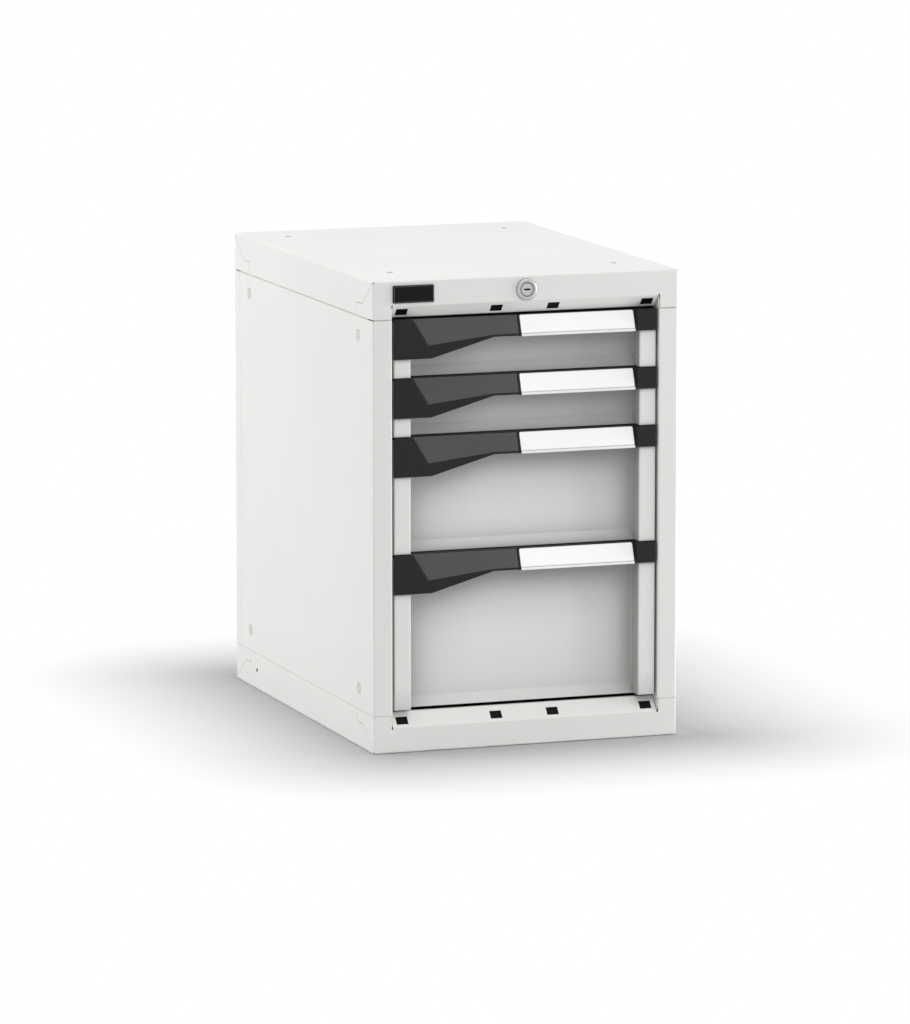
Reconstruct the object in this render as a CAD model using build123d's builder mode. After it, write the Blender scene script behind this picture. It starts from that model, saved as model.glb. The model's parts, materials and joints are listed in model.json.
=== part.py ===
from build123d import *
import os
from math import cos, hypot, radians, sin

os.makedirs("parts", exist_ok=True)

# A steel workshop cabinet with drawers on roller runners and one central lock.
# Millimetres, +Z up, the drawers open towards -Y, the floor is Z = 0.

# Housing
WIDTH = 411.0
DEPTH = 572.0
MODULE = 25.0  # height step of the uprights' slots
DRAWER_UNITS = (3, 3, 6, 8)  # drawer heights in modules, from the top down
SKIRT = 48.2  # skirt height of the cover and of the base
HEAD_GAP = 1.0  # from the cover's skirt down to the top drawer
SILL_GAP = 5.6  # from the base's skirt up to the lowest drawer
SHEET = 1.2
BEND = 2.0  # outside radius of a fold
SEAM = 0.3  # gap where two welded sheets meet edge to edge
COVER_SEAM = 1.5  # gap under the cover's skirt
LAP = 12.0  # reach of a welded lap strip to each side of a seam
STRIP = 26.0  # front strip of a side panel
STRIP_RETURN = 20.0
WRAP = 22.0  # rear panel's reach round a rear corner

# Cover and base pan
FRONT_FACE = 32.0  # flat part of the front between the notches
NOTCH_CLEAR = 1.7  # notch edge outside the opening's edge
NOTCH_GAP = 1.0  # from the notch up to the return seen in it
FLANGE_SLOPE = 50.0  # the front flanges below the horizontal, in degrees
FLANGE_LONG = 20.2  # the cover's flange from fold to fold
SILL_LONG = 24.0  # the base's flange
FLANGE_CLEAR = 0.7
HEM = 5.0
SLOT_WIDE = 15.7
SLOT_LONG = 11.2
SLOT_DOWN = 10.6  # slot centres down the flange from its front fold
SLOT_INNER = 38.3  # inner slot centres from the middle
SLOT_EDGE = 14.3  # outer slot centres from the opening's edge
CAP_FIT = 0.15
CAP_RIM = 1.2
CAP_EDGE = 2.2  # raised border of a slot's cap
CAP_DISH = 0.5
RELIEF_R = 1.5  # bend relief holes
TAB_LONG = 65.0  # corner tab of a skirt, along the side
TAB_SLANT = 41.0  # length of its slanted edge
SLIT = 0.5
BOLT_R = 4.5
BOLT_SIDE = 53.5  # bolt holes from the sides, the front and the back
BOLT_FRONT = 90.0
BOLT_BACK = 67.0
SIDE_HOLE_R = 3.25
SIDE_HOLE_BACK = 89.0
SIDE_HOLE_HIGH = 25.7

# Uprights and the plugs in the side panels
CHANNEL_IN = 4.8  # uprights' inner faces outside the opening's edge
UPRIGHT_WIDE = 30.0
UPRIGHT_FRONT = 57.5  # front uprights from the front
UPRIGHT_BACK = 63.5  # rear uprights from the back
UPRIGHT_SHEET = 1.5
HOOK_SLOT = (4.0, 14.0)
HOOK = (2.4, 9.0, 4.0)
PLUG_R = 6.7
PLUG_RIM = 1.8
PLUG_FIT = 0.6
PLUG_LOW = 27.5  # lower plugs above the base's seam
PLUG_HIGH = 25.5  # upper plugs below the cover's seam

# Runners
RUNNER_SHEET = 1.5
RUNNER_RISE = 8.0  # channel floor above the drawer's bottom line
RUNNER_SPACE = 30.3  # from the uprights in to the tray
RUNNER_GAP = 1.8  # channel's start behind the drawer's panel
RUNNER_BACK = 42.0  # channel's end from the back
CHANNEL = 23.0  # inside height of the cabinet rail
RAIL_LIP = 14.8  # depth of the cabinet rail
RAIL_CLEAR = 1.0  # drawer rail inside the opening's edge
RAIL_GAP = 1.0  # drawer rail behind the drawer's panel
RAIL_DROP = 2.0  # drawer rail's lower edge below the channel floor
RAIL_TAIL = 14.0  # drawer rail behind the rear axle
ROLL_GAP = 0.3
FLOOR_GAP = 0.6  # under the front roller
ROLLER_WIDE = 9.0
ROLLER_EDGE = 0.8
ROLLER_SPACE = 2.3  # from a roller to the channel's wall
ROLLER_CLEAR = 1.5  # from the rear roller to the cut in the drawer rail
FRONT_ROLLER_IN = 4.0  # front roller behind the channel's start
REAR_ROLLER_IN = 20.2  # rear axle from the tray's back
AXLE_R = 3.0
COLLAR_R = 5.0
HEAD_THICK = 0.8  # riveted axle head
END_PLAY = 0.4

# Drawers
REAR_SPACE = 84.8  # from the tray to the back
TRAY_SHEET = 1.0
FLOOR_RISE = 6.0
WALL_DROP = 19.0  # tray wall below the drawer's top line
TRAY_HEM = 4.0
DIVIDER_PITCH = 17.0
DIVIDER_SLOT = 2.2
DIVIDER_MARGIN = 7.0
FRONT_GAP = 2.5  # drawer front inside the opening's edge
POST_WIDE = 23.0
POST_BEHIND = 2.5  # post front behind the housing front
PANEL_BEHIND = 25.0
FRONT_RISE = 0.5
LIP_HIGH = 14.0  # curved lower lip of the front panel
LIP_OUT = 5.0
LIP_ROOT = 14.0  # run of the lip's sheet up the panel

# Handle, measured down from its top, in from the posts and back from the housing front
HANDLE_DROP = 0.5
HANDLE_WALL = 2.5
HANDLE_FIT = 0.2
HANDLE_EDGE = 0.8  # rounding of the outer edges
SLOPE_RUN = 9.3
BLOCK_RIDGE = 35.1
BLOCK_LIP = 15.2  # upright face of the tall left block below its ridge
HEEL = 5.0  # the block's lower corner beyond its ridge's corner
GRIP_RIDGE = 24.3
GRIP_LIP = 2.1
LABEL_LIP = 2.7
SLANT_IN = 2.6  # the block's slanted edge from the post, at its top
SLANT_WIDE = 19.4
NARROW_IN = 111.0  # where the grip's lower edge levels off
GRIP_LONG = 144.0
GRIP_BAR = 3.5  # upright bar between grip and label
END_RIB = 3.5
LABEL_GAP = 3.0
LABEL_SEAT = 1.6
LABEL_TOP_RIM = 0.7
LABEL_CORNER = 2.5
CARD_THICK = 0.4
CARD_GAP = 0.1
COVER_THICK = 0.9
BEAD_HIGH = 2.8
BEAD_OUT = 0.6
BEAD_ROUND = 0.6
LABEL_FIT = 0.15
PAD_PROUD = 0.5
PAD_SEAT = 0.7
PAD_FIT = 0.12
PAD_EDGE = 0.6

# Lock
LOCK_COLLAR_R = 13.8
LOCK_EDGE = 3.4  # from the collar up to the top
COLLAR_OUT = 2.8
COLLAR_SLOPE = 2.8
COLLAR_RIM = 0.9
BARREL_R = 9.5
BARREL_LONG = 24.0
LOCK_PLUG_R = 7.8
LOCK_FIT = 0.3
KEYWAY = (9.0, 2.2, 10.0)
NUT_ACROSS = 24.0
NUT_THICK = 5.0
NUT_FIT = 0.1
TAIL = 7.0
TAIL_LONG = 4.0
CAM_HUB_R = 7.0
CAM_END_R = 4.0
CAM_THICK = 2.5
CAM_THROW = 8.0
PIN_R = 2.0
PIN_FIT = 0.5
PIN_OVER = 1.5  # pin beyond the plate it drives
TURN = 90.0
BAR_GAP = 2.3  # lock bar behind the drawer's panel
BAR_THICK = 2.5
BAR_WIDE = 12.0
BAR_SIDE = 12.5  # middle of the lock bar from the housing's side
BAR_PIN_IN = 11.0  # its pin from its middle
BAR_HEAD_R = 6.0
SLIDER_GAP = 2.0  # slider behind the lock bar
SLIDER_THICK = 2.0
SLIDER_TALL = 14.0
SLIDER_HEAD = 25.0
SLIDER_GUIDES = (60.0, 120.0)  # guides from the lock's axis
TOOTH_TALL = 10.0
TOOTH_LAP = 10.0  # overlap of a lowered tooth and a lug
LUG_RISE = 14.0  # lug's top above the channel
LUG_TALL = 11.0
LUG_LIFT = 2.5  # from the lug up to the raised tooth
LUG_THICK = 2.0
LUG_GAP = 2.5  # from the tooth back to the lug
LUG_FOOT = 20.0
GUIDE_WALL = 2.5
GUIDE_FIT = 0.3
GUIDE_TALL = 12.0
BAR_GUIDE_UP = 70.0  # lock bar's guides above a drawer's bottom line

# Badge plate
BADGE_SIDE = 26.5
BADGE_LONG = 54.6
BADGE_TALL = 22.2
BADGE_DOWN = 5.7
BADGE_THICK = 2.0
BADGE_CORNER = 1.6
BADGE_EDGE = 0.5

# Derived lines of the housing
HEIGHT = 2 * SKIRT + HEAD_GAP + SILL_GAP + MODULE * sum(DRAWER_UNITS)
SIDE = WIDTH / 2
FRONT = -DEPTH / 2
BACK = DEPTH / 2
OPENING = SIDE - STRIP
PANEL_LOW = SKIRT + SEAM
PANEL_HIGH = HEIGHT - SKIRT - COVER_SEAM
BOLTS_X = WIDTH - 2 * BOLT_SIDE
BOLTS_Y = DEPTH - BOLT_FRONT - BOLT_BACK
UPRIGHTS_BEHIND = (UPRIGHT_FRONT, DEPTH - UPRIGHT_BACK)

# Derived lines of the drawers and runners
POST_OUT = OPENING - FRONT_GAP
POST_IN = POST_OUT - POST_WIDE
PANEL_BACK = PANEL_BEHIND + SHEET
RAIL_FACE = OPENING + CHANNEL_IN
CHANNEL_WALL = RAIL_FACE - RUNNER_SHEET
TRAY_SIDE = RAIL_FACE - RUNNER_SPACE
TRAY_BACK = DEPTH - REAR_SPACE
TRAY_LONG = TRAY_BACK - PANEL_BACK - 2 * TRAY_SHEET
RUNNER_START = PANEL_BACK + RUNNER_GAP
RUNNER_END = DEPTH - RUNNER_BACK
FLANGE_LOW = CHANNEL - 2 * ROLL_GAP - RUNNER_SHEET
FRONT_ROLLER_R = (FLANGE_LOW - ROLL_GAP - FLOOR_GAP) / 2
REAR_ROLLER_R = CHANNEL / 2 - ROLL_GAP
FRONT_ROLLER_BEHIND = RUNNER_START + FRONT_ROLLER_IN + FRONT_ROLLER_R
REAR_ROLLER_BEHIND = TRAY_BACK - REAR_ROLLER_IN
ROLLER_IN = CHANNEL_WALL - ROLLER_SPACE - ROLLER_WIDE / 2
RAIL_REACH = OPENING - RAIL_CLEAR

# Derived lines of the handle and the lock
BLOCK_LOW = BLOCK_RIDGE + BLOCK_LIP
GRIP_LOW = GRIP_RIDGE + GRIP_LIP
LABEL_LOW = GRIP_RIDGE + LABEL_LIP
SLANT_TOP = -POST_IN + SLANT_IN
SLANT_FOOT = SLANT_TOP + SLANT_WIDE
GRIP_NARROW = -POST_IN + NARROW_IN
GRIP_END = -POST_IN + GRIP_LONG
HEEL_AT = SLANT_FOOT + HEEL
HEEL_RIDGE = BLOCK_RIDGE + (GRIP_RIDGE - BLOCK_RIDGE) * HEEL / (GRIP_NARROW - SLANT_FOOT)
END_BLOCK = POST_IN - END_RIB
LABEL_LEFT = GRIP_END + GRIP_BAR
LABEL_RIGHT = END_BLOCK - LABEL_GAP
LOCK_HIGH = HEIGHT - LOCK_EDGE - LOCK_COLLAR_R
TRAVEL_PIN = 2 * CAM_THROW * sin(radians(TURN / 2))
BAR_BEHIND = PANEL_BACK + BAR_GAP
BAR_IN = SIDE - BAR_SIDE
BAR_PIN_AT = BAR_IN - BAR_PIN_IN
SLIDER_BEHIND = BAR_BEHIND + BAR_THICK + SLIDER_GAP
LUG_BEHIND = BAR_BEHIND + BAR_THICK + LUG_GAP
LUG_TOP = RUNNER_RISE + CHANNEL + LUG_RISE


def facing(behind):
    """Upright plane parallel to the front, a distance behind it."""
    return Plane.XZ.offset(-(FRONT + behind))


def folded(plane, path, thickness, radius):
    """Section of a sheet folded along a path, its thickness on the left of the path."""
    with BuildSketch(plane) as section:
        with BuildLine():
            FilletPolyline(*path, radius=radius)
            offset(amount=thickness, side=Side.LEFT)
        make_face()
    return section.sketch


def polygon(plane, points):
    """Flat face with the given corners."""
    with BuildSketch(plane) as face:
        with BuildLine():
            Polyline(*points, close=True)
        make_face()
    return face.sketch


def save(shape, name):
    """Label one named piece and write its file."""
    shape.label = name
    export_step(shape, f"parts/{name}.step")


# Pans of the cover and the base: skirts, a notched front and a sloped flange with slots
SKIRT_FOOT = HEIGHT - SKIRT
FLANGE_TOP = HEIGHT - FRONT_FACE
FLANGE_BACK = cos(radians(FLANGE_SLOPE))
FLANGE_DOWN = sin(radians(FLANGE_SLOPE))
SLOT_OUTER = OPENING - SLOT_EDGE
SLOT_SPOTS = [(-SLOT_OUTER, 0), (-SLOT_INNER, 0), (SLOT_INNER, 0), (SLOT_OUTER, 0)]
flange_face = Plane(
    origin=(0, FRONT + SLOT_DOWN * FLANGE_BACK, FLANGE_TOP - SLOT_DOWN * FLANGE_DOWN),
    x_dir=(1, 0, 0),
    z_dir=(0, -FLANGE_DOWN, -FLANGE_BACK),
)


def folded_pan(flange_long):
    """Pan with its open side down and a front flange of the given length."""
    flange_end = FRONT + flange_long * FLANGE_BACK
    flange_foot = FLANGE_TOP - flange_long * FLANGE_DOWN
    flange_path = [
        (FRONT, FLANGE_TOP + HEM),
        (FRONT, FLANGE_TOP),
        (flange_end, flange_foot),
        (flange_end + HEM, flange_foot),
    ]
    with BuildPart() as pan:
        with BuildSketch(Plane.XY.offset(SKIRT_FOOT)):
            Rectangle(WIDTH, DEPTH)
        extrude(amount=SKIRT)
        folds = pan.edges().filter_by(Axis.Z) + pan.faces().sort_by(Axis.Z)[-1].edges()
        fillet(folds, radius=BEND)
        offset(amount=-SHEET, openings=pan.faces().sort_by(Axis.Z)[0])
        with BuildSketch(facing(0)):
            with Locations((0, SKIRT_FOOT)):
                Rectangle(2 * (OPENING + NOTCH_CLEAR), SKIRT - FRONT_FACE, align=(Align.CENTER, Align.MIN))
            with Locations((-OPENING, FLANGE_TOP), (OPENING, FLANGE_TOP)):
                Circle(RELIEF_R)
        extrude(amount=-BEND, mode=Mode.SUBTRACT)
        extrude(folded(Plane.YZ, flange_path, SHEET, BEND), amount=OPENING - FLANGE_CLEAR, both=True)
        with BuildSketch(flange_face):
            with Locations(*SLOT_SPOTS):
                Rectangle(SLOT_WIDE, SLOT_LONG)
        extrude(amount=2 * SHEET, both=True, mode=Mode.SUBTRACT)
        with BuildSketch(Plane.YZ):
            with BuildLine():
                Polyline(
                    (FRONT + BEND, HEIGHT - BEND),
                    (FRONT + TAB_SLANT, FLANGE_TOP),
                    (FRONT + TAB_LONG, FLANGE_TOP),
                    (FRONT + TAB_LONG, SKIRT_FOOT - SLIT),
                )
            trace(line_width=SLIT)
            mirror(about=Plane.YZ)
        extrude(amount=WIDTH, both=True, mode=Mode.SUBTRACT)
        with Locations((0, 0, HEIGHT - BEND / 2)):
            with GridLocations(WIDTH - BEND, DEPTH - BEND, 2, 2):
                Sphere(RELIEF_R, mode=Mode.SUBTRACT)
        with BuildSketch(Plane.XY.offset(HEIGHT)):
            with Locations((0, FRONT + BOLT_FRONT + BOLTS_Y / 2)):
                with GridLocations(BOLTS_X, BOLTS_Y, 2, 2):
                    Circle(BOLT_R)
        extrude(amount=-2 * SHEET, mode=Mode.SUBTRACT)
    return pan.part


with BuildPart() as top_cover:
    add(folded_pan(FLANGE_LONG))
    with BuildSketch(facing(0)):
        with Locations((0, LOCK_HIGH)):
            Circle(BARREL_R + LOCK_FIT)
    extrude(amount=-2 * SHEET, mode=Mode.SUBTRACT)
save(top_cover.part, "top_cover")

with BuildPart() as base_tray:
    mirror(folded_pan(SILL_LONG), about=Plane.XY.offset(HEIGHT / 2))
    with BuildSketch(Plane.YZ):
        with Locations((BACK - SIDE_HOLE_BACK, SIDE_HOLE_HIGH)):
            Circle(SIDE_HOLE_R)
    extrude(amount=WIDTH, both=True, mode=Mode.SUBTRACT)
save(base_tray.part, "base_tray")

# Dished caps in the slots of both flanges, each held by a rim behind the sheet
with BuildPart() as slot_caps:
    with BuildSketch(flange_face):
        with Locations(*SLOT_SPOTS):
            Rectangle(SLOT_WIDE - 2 * CAP_FIT, SLOT_LONG - 2 * CAP_FIT)
    extrude(amount=-SHEET)
    with BuildSketch(flange_face.offset(-SHEET)):
        with Locations(*SLOT_SPOTS):
            Rectangle(SLOT_WIDE + 2 * CAP_RIM, SLOT_LONG + 2 * CAP_RIM)
    extrude(amount=-SHEET)
    with BuildSketch(flange_face):
        with Locations(*SLOT_SPOTS):
            Rectangle(SLOT_WIDE - 2 * CAP_EDGE, SLOT_LONG - 2 * CAP_EDGE)
    extrude(amount=-CAP_DISH, mode=Mode.SUBTRACT)
    mirror(about=Plane.XY.offset(HEIGHT / 2))
save(slot_caps.part, "slot_caps")

# Side panels: outer sheet with a front strip and its return, and lap strips behind the seams
side_path = [
    (-SIDE, BACK - WRAP - SEAM),
    (-SIDE, FRONT),
    (-OPENING, FRONT),
    (-OPENING, FRONT + STRIP_RETURN),
]
PLUG_SPOTS = [
    (FRONT + behind, level)
    for behind in UPRIGHTS_BEHIND
    for level in (SKIRT + PLUG_LOW, HEIGHT - SKIRT - PLUG_HIGH)
]
with BuildPart() as left_side_panel:
    extrude(folded(Plane.XY.offset(PANEL_LOW), side_path, SHEET, BEND), amount=PANEL_HIGH - PANEL_LOW)
    with BuildSketch(Plane.XY.offset(FRONT_FACE + NOTCH_GAP)):
        with Locations((-OPENING, FRONT + BEND)):
            Rectangle(SHEET, STRIP_RETURN - BEND, align=(Align.MAX, Align.MIN))
    extrude(amount=HEIGHT - 2 * (FRONT_FACE + NOTCH_GAP))
    for seam in (SKIRT, HEIGHT - SKIRT):
        with BuildSketch(Plane.XY.offset(seam - LAP)):
            with Locations((-SIDE + SHEET, 0)):
                Rectangle(SHEET, DEPTH - 2 * WRAP, align=(Align.MIN, Align.CENTER))
            with Locations((-SIDE + 2 * SHEET, FRONT + SHEET)):
                Rectangle(STRIP - 3 * SHEET, SHEET, align=(Align.MIN, Align.MIN))
        extrude(amount=2 * LAP)
    with BuildSketch(Plane.XY.offset(PANEL_LOW)):
        with Locations((-SIDE + SHEET, BACK - WRAP)):
            Rectangle(SHEET, 2 * LAP, align=(Align.MIN, Align.CENTER))
    extrude(amount=PANEL_HIGH - PANEL_LOW)
    with BuildSketch(Plane.YZ.offset(-SIDE)):
        with Locations(*PLUG_SPOTS):
            Circle(PLUG_R + PLUG_FIT)
    extrude(amount=2 * SHEET, mode=Mode.SUBTRACT)
save(left_side_panel.part, "left_side_panel")

with BuildPart() as right_side_panel:
    mirror(left_side_panel.part, about=Plane.YZ)
save(right_side_panel.part, "right_side_panel")

# Rear panel, wrapped round both rear corners
rear_path = [(SIDE, BACK - WRAP), (SIDE, BACK), (-SIDE, BACK), (-SIDE, BACK - WRAP)]
with BuildPart() as rear_panel:
    extrude(folded(Plane.XY.offset(PANEL_LOW), rear_path, SHEET, BEND), amount=PANEL_HIGH - PANEL_LOW)
    for seam in (SKIRT, HEIGHT - SKIRT):
        with BuildSketch(Plane.XY.offset(seam - LAP)):
            with Locations((0, BACK - SHEET)):
                Rectangle(WIDTH - 2 * WRAP, SHEET, align=(Align.CENTER, Align.MAX))
        extrude(amount=2 * LAP)
save(rear_panel.part, "rear_panel")

# Flush plugs in the side panels, each held by a rim behind the sheet
with BuildPart() as side_plugs:
    with BuildSketch(Plane.YZ.offset(-SIDE)):
        with Locations(*PLUG_SPOTS):
            Circle(PLUG_R)
    extrude(amount=SHEET)
    with BuildSketch(Plane.YZ.offset(-SIDE + SHEET)):
        with Locations(*PLUG_SPOTS):
            Circle(PLUG_R + PLUG_RIM)
    extrude(amount=SHEET)
    mirror(about=Plane.YZ)
save(side_plugs.part, "side_plugs")

# Slotted uprights, two to a side
SLOT_FIRST = SKIRT + SILL_GAP + RUNNER_RISE + CHANNEL / 2
SLOT_COUNT = sum(DRAWER_UNITS) - 1
with BuildPart() as left_uprights:
    for behind in UPRIGHTS_BEHIND:
        near = FRONT + behind - UPRIGHT_WIDE / 2
        far = FRONT + behind + UPRIGHT_WIDE / 2
        upright_path = [(-SIDE + SHEET, near), (-RAIL_FACE, near), (-RAIL_FACE, far), (-SIDE + SHEET, far)]
        section = folded(Plane.XY.offset(SKIRT + LAP), upright_path, UPRIGHT_SHEET, BEND)
        extrude(section, amount=HEIGHT - 2 * (SKIRT + LAP))
        with BuildSketch(Plane.YZ.offset(-RAIL_FACE)):
            with Locations((FRONT + behind, SLOT_FIRST + MODULE * (SLOT_COUNT - 1) / 2)):
                with GridLocations(0, MODULE, 1, SLOT_COUNT):
                    Rectangle(*HOOK_SLOT)
        extrude(amount=-2 * UPRIGHT_SHEET, mode=Mode.SUBTRACT)
save(left_uprights.part, "left_uprights")

with BuildPart() as right_uprights:
    mirror(left_uprights.part, about=Plane.YZ)
save(right_uprights.part, "right_uprights")

# Cabinet rails: a channel hooked into the uprights, with the front roller's axle
AXLE_END = ROLLER_IN - ROLLER_WIDE / 2 - END_PLAY
FRONT_AXLE_UP = FLANGE_LOW - ROLL_GAP - FRONT_ROLLER_R
channel_path = [
    (-RAIL_FACE + RAIL_LIP, CHANNEL + RUNNER_SHEET),
    (-RAIL_FACE, CHANNEL + RUNNER_SHEET),
    (-RAIL_FACE, -RUNNER_SHEET),
    (-RAIL_FACE + RAIL_LIP, -RUNNER_SHEET),
]
with BuildPart() as cabinet_rails:
    extrude(folded(facing(RUNNER_START), channel_path, RUNNER_SHEET, BEND), amount=RUNNER_START - RUNNER_END)
    with BuildSketch(Plane.YZ.offset(-RAIL_FACE)):
        with Locations(*[(FRONT + behind, CHANNEL / 2) for behind in UPRIGHTS_BEHIND]):
            Rectangle(HOOK[0], HOOK[1])
    extrude(amount=-HOOK[2])
    with BuildSketch(Plane.YZ.offset(-CHANNEL_WALL)):
        with Locations((FRONT + FRONT_ROLLER_BEHIND, FRONT_AXLE_UP)):
            Circle(AXLE_R)
    extrude(amount=CHANNEL_WALL - AXLE_END + HEAD_THICK)
    with BuildSketch(Plane.YZ.offset(-CHANNEL_WALL)):
        with Locations((FRONT + FRONT_ROLLER_BEHIND, FRONT_AXLE_UP)):
            Circle(COLLAR_R)
    extrude(amount=CHANNEL_WALL - ROLLER_IN - ROLLER_WIDE / 2 - END_PLAY)
    with BuildSketch(Plane.YZ.offset(-AXLE_END)):
        with Locations((FRONT + FRONT_ROLLER_BEHIND, FRONT_AXLE_UP)):
            Circle(COLLAR_R)
    extrude(amount=HEAD_THICK)
    mirror(about=Plane.YZ)

# Drawer rails: an angle on the tray with the rear roller's axle, and the lock's lug on the right
RAIL_TOP = FLANGE_LOW + RUNNER_SHEET
RAIL_START = PANEL_BACK + RAIL_GAP
RAIL_LONG = REAR_ROLLER_BEHIND + RAIL_TAIL - RAIL_START
rail_path = [(-TRAY_SIDE, -RAIL_DROP), (-TRAY_SIDE, RAIL_TOP), (-RAIL_REACH, RAIL_TOP)]
RAIL_SKIN = TRAY_SIDE + RUNNER_SHEET
REAR_AXLE_END = ROLLER_IN + ROLLER_WIDE / 2 + END_PLAY
LUG_UP = LUG_TOP - RUNNER_RISE
with BuildPart() as drawer_rails:
    extrude(folded(facing(RAIL_START), rail_path, RUNNER_SHEET, BEND), amount=-RAIL_LONG)
    with BuildSketch(Plane.XY.offset(CHANNEL)):
        with Locations((-RAIL_SKIN - END_PLAY, FRONT + REAR_ROLLER_BEHIND - REAR_ROLLER_R - ROLLER_CLEAR)):
            Rectangle(SIDE - RAIL_SKIN, RAIL_LONG, align=(Align.MAX, Align.MIN))
    extrude(amount=-CHANNEL, mode=Mode.SUBTRACT)
    with BuildSketch(Plane.YZ.offset(-RAIL_SKIN)):
        with Locations((FRONT + REAR_ROLLER_BEHIND, CHANNEL / 2)):
            Circle(COLLAR_R)
    extrude(amount=RAIL_SKIN - AXLE_END)
    with BuildSketch(Plane.YZ.offset(-RAIL_SKIN)):
        with Locations((FRONT + REAR_ROLLER_BEHIND, CHANNEL / 2)):
            Circle(AXLE_R)
    extrude(amount=RAIL_SKIN - REAR_AXLE_END - HEAD_THICK)
    with BuildSketch(Plane.YZ.offset(-REAR_AXLE_END)):
        with Locations((FRONT + REAR_ROLLER_BEHIND, CHANNEL / 2)):
            Circle(COLLAR_R)
    extrude(amount=-HEAD_THICK)
    mirror(about=Plane.YZ)
    with BuildSketch(facing(LUG_BEHIND)):
        with Locations((TRAY_SIDE, LUG_UP)):
            Rectangle(RUNNER_SHEET, LUG_UP - FLANGE_LOW, align=(Align.MIN, Align.MAX))
    extrude(amount=-LUG_FOOT)
    with BuildSketch(facing(LUG_BEHIND)):
        with Locations((TRAY_SIDE, LUG_UP)):
            Rectangle(POST_OUT - TRAY_SIDE, LUG_TALL, align=(Align.MIN, Align.MAX))
    extrude(amount=-LUG_THICK)

# Rollers, a left and a right one on each axle line
ROLLER_BORE = AXLE_R + ROLL_GAP


def rollers(radius, behind, up):
    """A left and a right nylon roller with eased edges, on one line across the cabinet."""
    with BuildPart() as pair:
        with BuildSketch(Plane.YZ.offset(-ROLLER_IN - ROLLER_WIDE / 2)):
            with Locations((FRONT + behind, up)):
                Circle(radius)
                Circle(ROLLER_BORE, mode=Mode.SUBTRACT)
        extrude(amount=ROLLER_WIDE)
        chamfer(pair.edges().filter_by(GeomType.CIRCLE).sort_by(SortBy.RADIUS)[-2:], length=ROLLER_EDGE)
        mirror(about=Plane.YZ)
    return pair.part


front_rollers = rollers(FRONT_ROLLER_R, FRONT_ROLLER_BEHIND, FRONT_AXLE_UP)
rear_rollers = rollers(REAR_ROLLER_R, REAR_ROLLER_BEHIND, CHANNEL / 2)


# Handle: an upright left block, a grip that twists as it narrows, the label's slope, an end block
def grip_section(across, low, ridge):
    """Section of the handle's wall: lower lip, sloped face and top wall, rounded outside."""
    with BuildSketch(Plane.YZ.offset(across)) as section:
        with BuildLine():
            FilletPolyline(
                (FRONT + HANDLE_WALL, -low),
                (FRONT, -low),
                (FRONT, -ridge),
                (FRONT + SLOPE_RUN, 0),
                (FRONT + PANEL_BACK, 0),
                radius=HANDLE_EDGE,
            )
            Polyline(
                (FRONT + PANEL_BACK, 0),
                (FRONT + PANEL_BACK, -HANDLE_WALL),
                (FRONT + SLOPE_RUN + HANDLE_WALL, -HANDLE_WALL),
                (FRONT + HANDLE_WALL, -ridge),
                (FRONT + HANDLE_WALL, -low),
            )
        make_face()
    return section.sketch


def front_block(points):
    """Flat plate at one end of the handle, over the post, with rounded front edges."""
    with BuildPart() as plate:
        extrude(polygon(facing(0), points), amount=-POST_BEHIND)
        fillet(plate.faces().sort_by(Axis.Y)[0].edges(), radius=HANDLE_EDGE)
    return plate.part


def pad_section(across, ridge, fit):
    """Section of the grip pad: a thin band that follows the sloped face."""
    points = [
        (FRONT - PAD_PROUD - fit, -ridge),
        (FRONT + SLOPE_RUN - PAD_PROUD - fit, 0),
        (FRONT + SLOPE_RUN + PAD_SEAT + fit, 0),
        (FRONT + PAD_SEAT + fit, -ridge),
    ]
    return polygon(Plane.YZ.offset(across), points)


def grip_pad(fit):
    """The grip pad, or the seat that it lies in when a fit is added all round."""
    edge = PAD_EDGE - fit
    outline = [
        (SLANT_TOP + 2 * edge, -edge),
        (GRIP_END - edge, -edge),
        (GRIP_END - edge, -GRIP_RIDGE + edge),
        (GRIP_NARROW, -GRIP_RIDGE + edge),
        (SLANT_FOOT + edge, -BLOCK_RIDGE + 2 * edge),
    ]
    with BuildPart() as pad:
        block = pad_section(SLANT_TOP, BLOCK_RIDGE, fit)
        foot = pad_section(SLANT_FOOT, BLOCK_RIDGE, fit)
        narrow = pad_section(GRIP_NARROW, GRIP_RIDGE, fit)
        end = pad_section(GRIP_END, GRIP_RIDGE, fit)
        loft([block, foot], ruled=True)
        loft([foot, narrow], ruled=True)
        loft([narrow, end], ruled=True)
        extrude(polygon(facing(-SLOPE_RUN), outline), amount=-2 * PANEL_BACK, mode=Mode.INTERSECT)
    return pad.part


SLOPE_LONG = hypot(SLOPE_RUN, GRIP_RIDGE)
LABEL_MID = (LABEL_LEFT + LABEL_RIGHT) / 2
LABEL_LONG = LABEL_RIGHT - LABEL_LEFT
LABEL_HIGH = SLOPE_LONG - LABEL_TOP_RIM - LABEL_FIT
label_face = Plane(
    origin=(LABEL_MID, FRONT, -GRIP_RIDGE),
    x_dir=(1, 0, 0),
    z_dir=(0, -GRIP_RIDGE, SLOPE_RUN),
)
left_block = [
    (-POST_OUT, 0),
    (SLANT_TOP, 0),
    (SLANT_FOOT, -BLOCK_RIDGE),
    (SLANT_FOOT, -BLOCK_LOW),
    (-POST_OUT, -BLOCK_LOW),
]
slanted_wall = [
    (SLANT_TOP, 0),
    (SLANT_FOOT, -BLOCK_RIDGE),
    (SLANT_FOOT - HANDLE_WALL, -BLOCK_RIDGE),
    (SLANT_TOP - HANDLE_WALL, 0),
]
end_block = [(END_BLOCK, 0), (POST_OUT, 0), (POST_OUT, -LABEL_LOW), (END_BLOCK, -LABEL_LOW)]
RIB_OUT = POST_IN - HANDLE_FIT
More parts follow.
